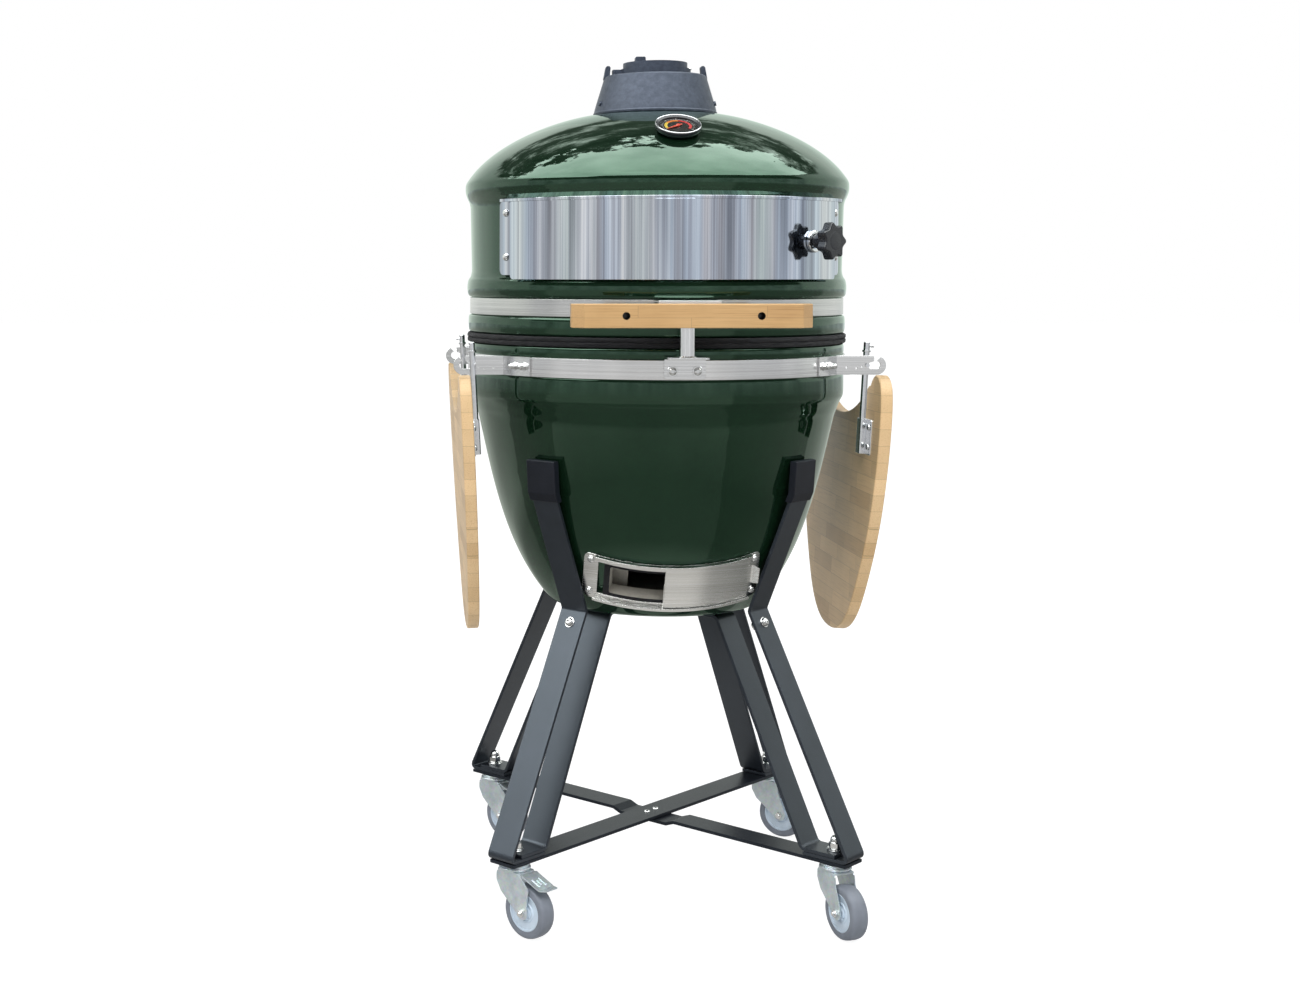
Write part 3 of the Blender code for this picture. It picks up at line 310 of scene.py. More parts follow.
def clay(name, col, rough=0.85, scale=180.0):
    m = Mat(name)
    n = m.noise(m.co, scale, 5.0, 0.7)
    b = m.noise(m.co, 22.0, 3.0, 0.5)
    m.set("Base Color", m.mix(1.0, m.ramp(n, [(0.3, tuple(c * 0.82 for c in col)), (0.7, col)]),
                              m.ramp(b, [(0.3, 0.86), (0.7, 1.0)]), "MULTIPLY"))
    m.set("Roughness", rough)
    m.bump(n, 0.5, 0.0008)
    return m.m


def gloss_black(name="knob_black"):
    m = Mat(name)
    n = m.noise(m.co, 650.0, 3.0, 0.6)
    m.set("Base Color", m.ramp(n, [(0.3, (0.010, 0.011, 0.014)), (0.7, (0.022, 0.024, 0.030))]))
    m.set("Roughness", m.math("ADD", 0.22, m.math("MULTIPLY", n, 0.15)))
    m.bump(n, 0.15, 0.0003)
    return m.m


def flat_paint(name, col, rough=0.4):
    m = Mat(name)
    n = m.noise(m.co, 900.0, 2.0, 0.5)
    m.set("Base Color", m.ramp(n, [(0.3, tuple(c * 0.85 for c in col)), (0.7, col)]))
    m.set("Roughness", rough)
    m.set("Coat Weight", 0.6)
    m.set("Coat Roughness", 0.04)
    return m.m


M_GLAZE = glaze()
M_BAND = brushed("brushed_band", R_LB, (0.92, 0.91, 0.90), 0.24)
M_SHEET = brushed("brushed_sheet", 0.222, (0.92, 0.91, 0.87), 0.26, "X", 0.015)
M_STEEL = brushed("brushed_steel_x", None, (0.90, 0.90, 0.90), 0.22, "X")
# the post's steel, brushed upright; its tint is raised above the other steel's as painted highlight
M_STEEL_Z_PAINTED_HIGHLIGHT = brushed("brushed_steel_z_painted_highlight", None, (0.98, 0.98, 0.98), 0.18, "Z")
M_MIRROR = mirror_sheet()
M_CHROME = plated("chrome_bright", (0.82, 0.83, 0.85))
M_NUT = plated("nut_bright", (0.84, 0.84, 0.84), 0.10)
M_ZINC = zinc()
M_POWDER = powder()
M_BRACE = powder("powder_brace")
M_BRACE.node_tree.nodes["Principled BSDF"].inputs["Specular IOR Level"].default_value = 0.30
M_IRON = iron()
M_FELT = felt()
M_CAP = rubber("cap_rubber_fine", (0.010, 0.012, 0.018), 0.42)
M_CAP.node_tree.nodes["Principled BSDF"].inputs["Specular IOR Level"].default_value = 0.25
M_TYRE = rubber("tyre_grey", (0.215, 0.235, 0.275), 0.5)
M_HUB = rubber("hub_pale", (0.66, 0.76, 0.86), 0.32, 300.0)
M_BOARD = bamboo("bamboo_board", 0.0235, 0.105, "YZ", (0.86, 0.61, 0.34), (0.62, 0.39, 0.18), 0.7)
M_HANDLE = bamboo("bamboo_handle", 0.0160, 0.170, "XZ", (0.67, 0.42, 0.19), (0.52, 0.29, 0.12), 0.7)
M_KNOB = gloss_black()
M_WELL = gloss_black("well_black")
# near-black: the screws' own colour, and painted shade on the bore walls and liners
M_SCREW_BLACK_AND_BORE_SHADE = flat_paint("screw_black_and_bore_painted_shade", (0.012, 0.010, 0.009), 0.6)
M_CLAY = clay("fireclay_fine", (0.60, 0.57, 0.50))
M_STONE = clay("stone_fine", (0.68, 0.60, 0.47), 0.9, 260.0)
M_DIAL = flat_paint("dial_black", (0.012, 0.010, 0.010), 0.25)
M_YELLOW = flat_paint("dial_yellow", (0.85, 0.62, 0.06), 0.35)
M_ORANGE = flat_paint("dial_orange", (0.85, 0.24, 0.03), 0.35)
M_RED = flat_paint("dial_red", (0.62, 0.03, 0.03), 0.35)
M_WHITE = flat_paint("dial_white", (0.75, 0.75, 0.72), 0.4)
M_NEEDLE = flat_paint("needle_red_fine", (0.75, 0.09, 0.05), 0.35)


# ------------------------------------------------------------------- helpers
def basis(origin, xdir, ydir):
    x = Vector(xdir).normalized()
    y = Vector(ydir).normalized()
    m = Matrix((x, y, x.cross(y))).transposed().to_4x4()
    m.translation = Vector(origin)
    return m


def along(pos, d, up=(0, 0, 1)):
    """Local Z along d."""
    z = Vector(d).normalized()
    u = Vector(up)
    if abs(z.dot(u)) > 0.95:
        u = Vector((1, 0, 0))
    x = u.cross(z).normalized()
    return basis(pos, x, z.cross(x))


def radial(theta):
    return basis((0, 0, 0), (cos(theta), sin(theta), 0), (0, 0, 1))


def new(name, me, mat=None):
    ob = bpy.data.objects.new(name, me)
    bpy.context.scene.collection.objects.link(ob)
    if mat is not None:
        me.materials.clear()
        me.materials.append(mat)
    return ob


def drop(ob):
    data = ob.data
    bpy.data.objects.remove(ob, do_unlink=True)
    if isinstance(data, bpy.types.Curve):
        bpy.data.curves.remove(data)
    elif isinstance(data, bpy.types.Mesh) and data.users == 0:
        bpy.data.meshes.remove(data)


def freeze(ob, dissolve=False):
    """The mesh that an object's modifiers or curve make, in the frame's coordinates."""
    bpy.context.view_layer.update()
    dg = bpy.context.evaluated_depsgraph_get()
    me = bpy.data.meshes.new_from_object(ob.evaluated_get(dg))
    me.transform(ob.matrix_world)
    bm = bmesh.new()
    bm.from_mesh(me)
    bmesh.ops.remove_doubles(bm, verts=bm.verts, dist=0.000005)
    if dissolve:
        bmesh.ops.dissolve_limit(bm, angle_limit=radians(0.6), verts=bm.verts, edges=bm.edges)
    bmesh.ops.recalc_face_normals(bm, faces=bm.faces)
    bm.to_mesh(me)
    bm.free()
    name = ob.name
    mats = list(ob.data.materials)
    drop(ob)
    out = new(name, me)
    me.materials.clear()
    for m in mats:
        me.materials.append(m)
    out.name = name
    return out


def smooth(ob, deg=32.0):
    ob.data.shade_smooth()
    ob.data.set_sharp_from_angle(angle=radians(deg))
    return ob


def bevel(ob, width, seg=2, deg=34.0):
    b = ob.modifiers.new("edge", "BEVEL")
    b.width = width
    b.segments = seg
    b.limit_method = "ANGLE"
    b.angle_limit = radians(deg)
    b.use_clamp_overlap = True
    b.miter_outer = "MITER_ARC"
    return freeze(ob)


def cut(ob, *cutters, op="DIFFERENCE"):
    for c in cutters:
        m = ob.modifiers.new("cut", "BOOLEAN")
        m.operation = op
        m.object = c
        m.solver = "EXACT"
        m.material_mode = "TRANSFER"
    out = freeze(ob)
    for c in cutters:
        drop(c)
    return out


def lined(ob, mat, zdir):
    """Give the walls facing the axis, and the rim, the bare clay."""
    if mat.name not in [m.name for m in ob.data.materials]:
        ob.data.materials.append(mat)
    k = [m.name for m in ob.data.materials].index(mat.name)
    for f in ob.data.polygons:
        c, n = f.center, f.normal
        r = sqrt(c.x ** 2 + c.y ** 2)
        inward = (c.x * n.x + c.y * n.y) / r < -0.06 if r > 1e-5 else False
        if (inward and r < 0.2555) or n.z * zdir > 0.85 and r < 0.2705 and (zdir > 0 or c.z < 0.9 or r < 0.25) and not (zdir < 0 and c.z > 1.15):
            f.material_index = k
    return ob


def arc(cx, cy, r, a0, a1, n):
    return [(cx + r * cos(a0 + (a1 - a0) * i / n), cy + r * sin(a0 + (a1 - a0) * i / n)) for i in range(n + 1)]


def circle(cx, cy, r, n=32):
    return [(cx + r * cos(2 * pi * i / n), cy + r * sin(2 * pi * i / n)) for i in range(n)]


def rounded_rect(x0, y0, x1, y1, r, n=6):
    return (arc(x1 - r, y1 - r, r, 0, pi / 2, n) + arc(x0 + r, y1 - r, r, pi / 2, pi, n)
            + arc(x0 + r, y0 + r, r, pi, 1.5 * pi, n) + arc(x1 - r, y0 + r, r, 1.5 * pi, 2 * pi, n))


def soft(pts, r, n=5, closed=True):
    """Round a polyline's corners."""
    out = []
    k = len(pts)
    for i in range(k):
        b = Vector(pts[i])
        if not closed and i in (0, k - 1):
            out.append(tuple(b))
            continue
        a, c = Vector(pts[i - 1]), Vector(pts[(i + 1) % k])
        if (a - b).length < 1e-9 or (c - b).length < 1e-9:
            continue
        u, v = (a - b).normalized(), (c - b).normalized()
        ang = u.angle(v)
        if pi - ang < 0.15:
            out.append(tuple(b))
            continue
        d = min(r / tan(ang / 2), 0.45 * (a - b).length, 0.45 * (c - b).length)
        p, q = b + u * d, b + v * d
        for j in range(n + 1):
            t = j / n
            out.append(tuple(p * (1 - t) ** 2 + b * 2 * t * (1 - t) + q * t * t))
    return out


def strip(path, t):
    """Outline of a bent flat bar seen from its edge."""
    left, right = [], []
    for i, p in enumerate(path):
        p = Vector(p)
        d0 = (p - Vector(path[i - 1])).normalized() if i else None
        d1 = (Vector(path[i + 1]) - p).normalized() if i < len(path) - 1 else None
        d0 = d0 or d1
        d1 = d1 or d0
        n0, n1 = Vector((-d0.y, d0.x)), Vector((-d1.y, d1.x))
        m = (n0 + n1).normalized()
        k = (t / 2) / max(0.3, m.dot(n0))
        left.append(tuple(p + m * k))
        right.append(tuple(p - m * k))
    return left + right[::-1]


def catmull(pts, n=4):
    out = []
    k = len(pts)
    for i in range(k - 1):
        p0 = Vector(pts[max(0, i - 1)])
        p1, p2 = Vector(pts[i]), Vector(pts[i + 1])
        p3 = Vector(pts[min(k - 1, i + 2)])
        for j in range(n):
            t = j / n
            out.append(tuple(0.5 * ((2 * p1) + (p2 - p0) * t + (2 * p0 - 5 * p1 + 4 * p2 - p3) * t * t
                                    + (3 * p1 - p0 - 3 * p2 + p3) * t ** 3)))
    out.append(tuple(pts[-1]))
    return out


def bezier(p0, p1, p2, p3, n):
    out = []
    for i in range(n + 1):
        t = i / n
        out.append(tuple(sum(((1 - t) ** 3 * p0[k], 3 * t * (1 - t) ** 2 * p1[k], 3 * t * t * (1 - t) * p2[k], t ** 3 * p3[k]))
                         for k in range(2)))
    return out


def turn(name, prof, mat, steps=96, matrix=None, closed=True, deg=32.0):
    me = bpy.data.meshes.new(name)
    n = len(prof)
    edges = [(i, i + 1) for i in range(n - 1)]
    if closed:
        edges.append((n - 1, 0))
    me.from_pydata([(r, 0.0, z) for r, z in prof], edges, [])
    ob = new(name, me, mat)
    if matrix is not None:
        ob.matrix_world = matrix
    s = ob.modifiers.new("turn", "SCREW")
    s.axis = "Z"
    s.angle = 2 * pi
    s.steps = s.render_steps = steps
    s.use_merge_vertices = True
    s.merge_threshold = 0.000005
    return smooth(freeze(ob), deg)


def prism(name, outlines, half, mat, matrix=None, edge=0.0, seg=2, dissolve=True):
    cu = bpy.data.curves.new(name, "CURVE")
    cu.dimensions = "2D"
    cu.fill_mode = "BOTH"
    cu.extrude = half
    for pts in outlines:
        sp = cu.splines.new("POLY")
        sp.points.add(len(pts) - 1)
        for p, (x, y) in zip(sp.points, pts):
            p.co = (x, y, 0.0, 1.0)
        sp.use_cyclic_u = True
    ob = bpy.data.objects.new(name, cu)
    bpy.context.scene.collection.objects.link(ob)
    cu.materials.append(mat)
    if matrix is not None:
        ob.matrix_world = matrix
    ob = freeze(ob, dissolve)
    if edge > 0:
        ob = bevel(ob, edge, seg)
    return smooth(ob)


def cyl(name, r, z0, z1, mat, matrix=None, n=48, edge=0.0, r2=None):
    bm = bmesh.new()
    bmesh.ops.create_cone(bm, cap_ends=True, segments=n, radius1=r, radius2=r if r2 is None else r2, depth=z1 - z0,
                          matrix=Matrix.Translation((0, 0, (z0 + z1) / 2)))
    me = bpy.data.meshes.new(name)
    bm.to_mesh(me)
    bm.free()
    ob = new(name, me, mat)
    if matrix is not None:
        ob.matrix_world = matrix
    ob = bevel(ob, edge, 2) if edge > 0 else freeze(ob)
    return smooth(ob)


def brick(name, lo, hi, mat, matrix=None, edge=0.0008, seg=2):
    bm = bmesh.new()
    size = [h - l for l, h in zip(lo, hi)]
    mid = [(h + l) / 2 for l, h in zip(lo, hi)]
    bmesh.ops.create_cube(bm, size=1.0, matrix=Matrix.Translation(mid) @ Matrix.Diagonal((*size, 1.0)))
    me = bpy.data.meshes.new(name)
    bm.to_mesh(me)
    bm.free()
    ob = new(name, me, mat)
    if matrix is not None:
        ob.matrix_world = matrix
    ob = bevel(ob, edge, seg) if edge > 0 else freeze(ob)
    return smooth(ob)


def merge(name, obs, mat=None):
    """Several meshes as one object."""
    bm = bmesh.new()
    mats = []
    for o in obs:
        start = len(bm.faces)
        bm.from_mesh(o.data)
        m = mat or o.data.materials[0]
        if m not in mats:
            mats.append(m)
        bm.faces.ensure_lookup_table()
        for f in bm.faces[start:]:
            f.material_index = mats.index(m)
    me = bpy.data.meshes.new(name)
    bm.to_mesh(me)
    bm.free()
    for o in obs:
        drop(o)
    ob = new(name, me)
    for m in mats:
        me.materials.append(m)
    return smooth(ob)


def wrapped(ob, fn, n, lo, hi):
    """Cut a flat sheet into strips across X and bend it."""
    bm = bmesh.new()
    bm.from_mesh(ob.data)
    for i in range(1, n):
        x = lo + (hi - lo) * i / n
        bmesh.ops.bisect_plane(bm, geom=bm.verts[:] + bm.edges[:] + bm.faces[:], dist=1e-7, plane_co=(x, 0, 0), plane_no=(1, 0, 0))
    bmesh.ops.remove_doubles(bm, verts=bm.verts, dist=1e-6)
    for v in bm.verts:
        v.co = fn(*v.co)
    bmesh.ops.triangulate(bm, faces=[f for f in bm.faces if len(f.verts) > 4])
    bmesh.ops.recalc_face_normals(bm, faces=bm.faces)
    bm.to_mesh(ob.data)
    bm.free()
    return smooth(ob)


def on_wall(u, v, w):
    a = u / DOOR_R
    return Vector(((DOOR_R + w) * sin(a), -(DOOR_R + w) * cos(a), v))


def on_draft(u, v, w):
    a = u / DRAFT_R
    return DA + (DN * cos(a) + Vector((1, 0, 0)) * sin(a)) * (DRAFT_R + w) + DG * v


def give(ob, body, slot, *nodes):
    """Put a finished piece on its body, and hide what it stands for. Its slot argument is not used."""
    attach(ob, body)
    if nodes:
        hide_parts(*nodes)
    if not any(m in (M_GLAZE, M_CLAY, M_FELT, M_STONE) for m in ob.data.materials):
        w = ob.modifiers.new("flat_faces", "WEIGHTED_NORMAL")
        w.keep_sharp = True
        w.weight = 70
    return ob


# fasteners, each along local Z from the seat at z 0
def washer(m, r=0.009, ri=0.004, h=0.0015):
    return turn("w", [(r, h - 0.0003), (r, 0.0003), (r - 0.0003, 0), (ri, 0), (ri, h), (r - 0.0003, h)], M_NUT, 32, m)


def hexagon(m, af, z0, z1, mat=None):
    r = af / 2 / cos(pi / 6)
    h = prism("h", [[(r * cos(pi / 3 * i), r * sin(pi / 3 * i)) for i in range(6)]], (z1 - z0) / 2, mat or M_NUT,
              m @ Matrix.Translation((0, 0, (z0 + z1) / 2)), 0.0005)
    cone = turn("c", [(0, z1 + 0.0002), (af / 2 * 0.93, z1 + 0.0002), (r * 1.01, z1 - (r - af / 2) * 0.75), (r * 1.01, z0 + (r - af / 2) * 0.5),
                      (af / 2 * 0.96, z0 - 0.0002), (0, z0 - 0.0002)], mat or M_NUT, 36, m, closed=False)
    return smooth(cut(h, cone, op="INTERSECT"))


def acorn(m, s=1.0):
    """Domed cap nut on a washer; s 1 is the M8 size."""
    dome = turn("d", [(0.0, 0.0150 * s)] + [(0.0055 * s * sin(a), (0.0095 + 0.0055 * cos(a)) * s) for a in
                                            (0.25, 0.5, 0.75, 1.0, 1.25, 1.45)] + [(0.0056 * s, 0.0078 * s), (0.0062 * s, 0.0070 * s), (0, 0.0070 * s)],
                M_NUT, 36, m, closed=False)
    return [washer(m, 0.0085 * s, 0.004 * s, 0.0014 * s), hexagon(m, 0.0130 * s, 0.0014 * s, 0.0074 * s), dome]


def button(m, r=0.0058, h=0.0034, socket=True):
    prof = [(0.0, h)] if not socket else [(0.0, h * 0.35), (r * 0.42, h * 0.35), (r * 0.44, h * 0.97)]
    prof += [(r * 0.55, h * 0.97), (r * 0.78, h * 0.80), (r * 0.94, h * 0.48), (r, h * 0.12), (r, 0.0), (0.0, 0.0)]
    return turn("b", prof, M_NUT, 32, m, closed=False)


# ================================================================= ceramic
lid_out = [(0.060, Z_SEAT), (0.0955, Z_SEAT)] + catmull(
    [(0.0980, 1.1582)] + bezier((0.098, 1.1583), (0.1583, 1.1495), (0.2503, 1.1133), (0.2829, 1.0575), 16)[1:]
    + [(0.2842, 1.0500), (0.2837, 1.0425), (0.2812, 1.0350), (0.2784, 1.0290), (0.2769, 1.0225), (0.2765, 1.0150)], 3)
lid_out += catmull([(0.2747, 0.9330), (0.2748, 0.9250), (0.2766, 0.9175), (0.2797, 0.9125), (0.2812, 0.9050), (0.2811, 0.8965),
                    (0.2797, 0.8905), (0.2770, 0.8878)], 3)
lid_out += [(0.2742, 0.8872), (0.2742, 0.8618)]
lid_out += catmull([(0.2762, 0.8612), (0.2784, 0.8592), (0.2793, 0.8545), (0.2793, 0.8430), (0.2784, 0.8375), (0.2762, 0.8350)], 3)
lid_out += [(0.2740, Z_LID)]
lid_in = [(0.2495, Z_LID)] + catmull([(0.2495, 1.0200), (0.2470, 1.0430), (0.2300, 1.0720), (0.2080, 1.0920), (0.1780, 1.1090),
                                      (0.1400, 1.1220), (0.1000, 1.1310), (0.0600, 1.1340)], 2)
lid = turn("lid_ceramic", lid_out + lid_in, M_GLAZE, 192)
mouth = wrapped(brick("mouth", (-0.230, 0.928, -0.060), (0.230, 1.014, 0.030), M_CLAY, None, 0.0), on_wall, 40, -0.230, 0.230)
thermo_m = basis(THERMO_P, (1, 0, 0), THERMO_N.cross(Vector((1, 0, 0))))
lid = lined(smooth(cut(lid, mouth, cyl("th", 0.0070, -0.060, 0.020, M_CLAY, thermo_m, 24)), 38), M_CLAY, -1)
give(lid, "lid", "green_glaze", "lid_dome")

bowl_out = catmull([(0.2740, Z_RIM), (0.2766, Z_RIM - 0.0008), (0.2780, Z_RIM - 0.0036), (0.2781, 0.8095), (0.2776, 0.8062)], 3)
bowl_out += [(0.2772, 0.8050), (0.2772, 0.7770), (0.2776, 0.7762)]
bowl_out += catmull([(0.2781, 0.7735), (0.2782, 0.7620), (0.2781, 0.7500), (0.2770, 0.7430), (0.2740, 0.7372), (0.2708, 0.7300), (0.2680, 0.7220)]
                    + bezier((0.2650, 0.7140), (0.2433, 0.6187), (0.2254, 0.5136), (0.1610, 0.4380), 18) + [(0.1560, 0.4330), (0.1500, Z_BOWL)], 3)
bowl_in = [(0.0, 0.460), (0.1400, 0.460)] + catmull([(0.1440, 0.4605), (0.1600, 0.4750), (0.1880, 0.5250), (0.2080, 0.5800), (0.2250, 0.6450),
                                                     (0.2400, 0.7100), (0.2480, 0.7600), (0.2500, Z_RIM)], 3)
bowl = turn("bowl_ceramic", bowl_in + bowl_out + [(0.0, Z_BOWL)], M_GLAZE, 192, closed=False)
inlet = wrapped(brick("inlet", (-0.094, -0.026, -0.070), (0.010, 0.026, 0.030), M_CLAY, None, 0.0), on_draft, 16, -0.094, 0.010)
bowl = lined(smooth(cut(bowl, inlet), 38), M_CLAY, 1)
give(bowl, "base", "green_glaze", "base_bowl")


# ============================================================ felt and bands
def felt_ring(name, z0, z1, bulge, body, node, seed):
    zm = (z0 + z1) / 2
    prof = [(0.2790, z1), (0.2800 + bulge * 0.6, z1 - 0.0012), (0.2802 + bulge, zm), (0.2800 + bulge * 0.6, z0 + 0.0012), (0.2790, z0),
            (0.2520, z0), (0.2520, z1)]
    prof = catmull(prof[:5], 3) + prof[5:]
    ob = turn(name, prof, M_FELT, 420)
    for v in ob.data.vertices:
        r = sqrt(v.co.x ** 2 + v.co.y ** 2)
        if r > 0.275:
            n = noise.fractal(Vector((v.co.x * 60, v.co.y * 60, v.co.z * 260 + seed)), 0.9, 2.0, 3)
            k = 1 + n * 0.0012 / r
            v.co.x *= k
            v.co.y *= k
    return give(ob, body, "black_felt", node)


g0, g1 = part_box("lower_gasket")
felt_ring("felt_lower", g0.z, g1.z, 0.0004, "base", "lower_gasket", 3.0)
g0, g1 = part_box("upper_gasket")
felt_ring("felt_upper", g0.z, g1.z, 0.0006, "lid", "upper_gasket", 11.0)


def steel_band(name, r1, t, z0, z1, body, node, mat=None):
    e = 0.0006
    prof = [(r1 - e, z1), (r1 - e * 0.3, z1 - e * 0.3), (r1, z1 - e), (r1, z0 + e), (r1 - e * 0.3, z0 + e * 0.3), (r1 - e, z0), (r1 - t, z0), (r1 - t, z1)]
    return give(turn(name, prof, mat or M_BAND, 192), body, "brushed_stainless", node)


steel_band("band_lower_steel", R_LB, 0.0025, LB[0].z, LB[1].z, "base", "lower_band")
# painted shade: the upper band is the lower band's steel with a darker tint, 0.70 against 0.92
M_BAND_UP_PAINTED_SHADE = brushed("brushed_band_upper_painted_shade", R_UB, (0.70, 0.70, 0.68), 0.24)
steel_band("band_upper_steel", R_UB, 0.0025, UB[0].z, UB[1].z, "lid", "upper_band", M_BAND_UP_PAINTED_SHADE)


# ================================================================ pizza door
u_h, p_h = DOOR_HALF * DOOR_R, PANEL_HALF * DOOR_R
plate = prism("pf", [rounded_rect(-u_h, 0.9200, u_h, 1.0262, 0.008), rounded_rect(-0.224, 0.9340, 0.224, 1.0080, 0.004)], 0.0006, M_MIRROR,
              Matrix.Translation((0, 0, 0.0006)), 0.0003, 1, dissolve=False)
rail = prism("pr", [[(0.0002, 1.0250), (0.0002, 1.0282), (0.0100, 1.0282), (0.0100, 1.0238), (0.0088, 1.0238), (0.0088, 1.0270),
                     (0.0014, 1.0270), (0.0014, 1.0250)]], u_h - 0.012, M_MIRROR, basis((0, 0, 0), (0, 0, 1), (0, 1, 0)), 0.0003, 1)
pizza_frame = wrapped(merge("pizza_frame_sheet", [plate, rail]), on_wall, 72, -u_h, u_h)
give(pizza_frame, "lid", "polished_stainless", "pizza_door_frame")
panel = prism("pizza_panel_sheet", [rounded_rect(-p_h, 0.9140, p_h, 1.0262, 0.006)], 0.0006, M_MIRROR,
              Matrix.Translation((0, 0, 0.0072)), 0.0004, 2)
give(wrapped(panel, on_wall, 96, -p_h, p_h), "pizza_door", "polished_stainless", "pizza_door_panel")

bolts = []
for az in (-56.8, 56.8):
    for z in (1.0085, 0.9458):
        a = radians(az)
        d = Vector((sin(a), -cos(a), 0))
        bolts.append(button(along(d * (DOOR_R + 0.0012) + Vector((0, 0, z)), d), 0.0056, 0.0036, False))
give(merge("pizza_frame_bolts", bolts, M_NUT), "lid", "chrome")

kd = Vector((sin(KNOB_AZ), -cos(KNOB_AZ), 0))
km = along(kd * (DOOR_R + 0.0082) + Vector((0, 0, KNOB_Z)), kd)
lobes = []
for i in range(7):
    a = 2 * pi * i / 7
    lobes += arc(0.0220 * cos(a), 0.0220 * sin(a), 0.0042, a - 1.15, a + 1.15, 7)
    lobes.append((0.0200 * cos(a + pi / 7), 0.0200 * sin(a + pi / 7)))
star = prism("ks", [lobes], 0.0072, M_KNOB, km @ Matrix.Translation((0, 0, 0.0297)), 0.0022, 4)
hub = turn("kh", [(0.0090, 0.0236), (0.0112, 0.0226), (0.0104, 0.0180), (0.0100, 0.0058), (0.0094, 0.0050), (0, 0.0050), (0, 0.0236)], M_KNOB, 48, km)
capd = turn("kc", [(0.0, 0.0374), (0.0096, 0.0373), (0.0122, 0.0370), (0.0126, 0.0366), (0.0, 0.0366)], M_KNOB, 48, km, closed=False)
give(merge("star_knob", [star, hub, capd], M_KNOB), "pizza_knob", "black_plastic", "pizza_door_knob")
ring = turn("door_stud_washer", soft([(0.0142, 0.0048), (0.0156, 0.0038), (0.0156, -0.0002), (0.0105, -0.0002), (0.0105, 0.0048)], 0.0007, 3),
            M_CHROME, 72, km)
give(ring, "pizza_door", "chrome", "pizza_door_washer")


# ================================================================ draft door
DH = 0.0375
DU0, DU1 = -0.1300, 0.1340
plate = prism("df", [rounded_rect(DU0, -DH, DU1, DH, 0.010), rounded_rect(-0.1080, -0.0265, 0.0140, 0.0265, 0.002)], 0.0006, M_SHEET,
              Matrix.Translation((0, 0, 0.0006)), 0.0003, 1, dissolve=False)
bits = [plate]
for s in (1, -1):
    prof = [(0.0010, s * (DH - 0.0012)), (0.0010, s * DH), (0.0070, s * DH), (0.0070, s * (DH - 0.0045)), (0.0058, s * (DH - 0.0045)), (0.0058, s * (DH - 0.0012))]
    bits.append(prism("dr", [prof], (DU1 - DU0 - 0.036) / 2, M_SHEET, basis(((DU0 + DU1) / 2, 0, 0), (0, 0, 1), (0, 1, 0)), 0.0003, 1))
give(wrapped(merge("draft_frame_sheet", bits), on_draft, 48, DU0, DU1), "base", "brushed_stainless", "draft_door_frame")
PU0, PU1 = -0.0130, 0.1130
dp = prism("dp", [rounded_rect(PU0, -DH + 0.0020, PU1, DH - 0.0020, 0.0015, 3)], 0.0006, M_SHEET, Matrix.Translation((0, 0, 0.0036)), 0.0003, 1)
ear_path = soft([(PU1 - 0.0015, 0.0036), (PU1 + 0.0045, 0.0048), (PU1 + 0.0090, 0.0150)], 0.004, 5, closed=False)
ear = prism("de", [strip(ear_path, 0.0012)], 0.0150, M_SHEET, basis((0, 0.006, 0), (1, 0, 0), (0, 0, 1)), 0.0)
ear_shape = prism("dex", [soft([(PU1 - 0.004, -0.010), (PU1 + 0.0060, -0.0090), (PU1 + 0.0130, -0.0030), (PU1 + 0.0130, 0.0150), (PU1 + 0.0060, 0.0210),
                                (PU1 - 0.004, 0.0210)], 0.006, 6)], 0.05, M_SHEET)
ear = cut(ear, ear_shape, op="INTERSECT")
lip = prism("dl", [strip(soft([(PU0 + 0.0008, 0.0036), (PU0 + 0.0006, 0.0042), (PU0 - 0.0002, 0.0058)], 0.001, 3, closed=False), 0.0010)], 0.0120, M_SHEET,
            basis((0, -0.004, 0), (1, 0, 0), (0, 0, 1)), 0.0)
give(wrapped(merge("draft_panel_sheet", [dp, ear, lip]), on_draft, 30, PU0 - 0.0012, PU1 + 0.0105), "draft_door", "brushed_stainless", "draft_door_panel")
screws = []
for u in (DU0 + 0.0105, DU1 - 0.0105):
    for v in (-DH + 0.0105, DH - 0.0105):
        p, q = on_draft(u, v, 0.0012), on_draft(u, v, 0.0112)
        screws.append(button(along(p, q - p), 0.0050, 0.0034))
        screws.append(turn("sw", [(0.0066, 0.0008), (0.0068, 0.0), (0.0, 0.0), (0.0, 0.0008)], M_NUT, 32, along(p, q - p)))
give(merge("draft_frame_screws", screws, M_NUT), "base", "chrome")
seal = prism("draft_seal", [rounded_rect(-0.0990, -0.0290, 0.0150, 0.0290, 0.003), rounded_rect(-0.0905, -0.0222, 0.0070, 0.0222, 0.003)], 0.0004, M_FELT,
             Matrix.Translation((0, 0, -0.0006)), 0.0, dissolve=False)
give(wrapped(seal, on_draft, 24, -0.0990, 0.0150), "base", "black_felt")


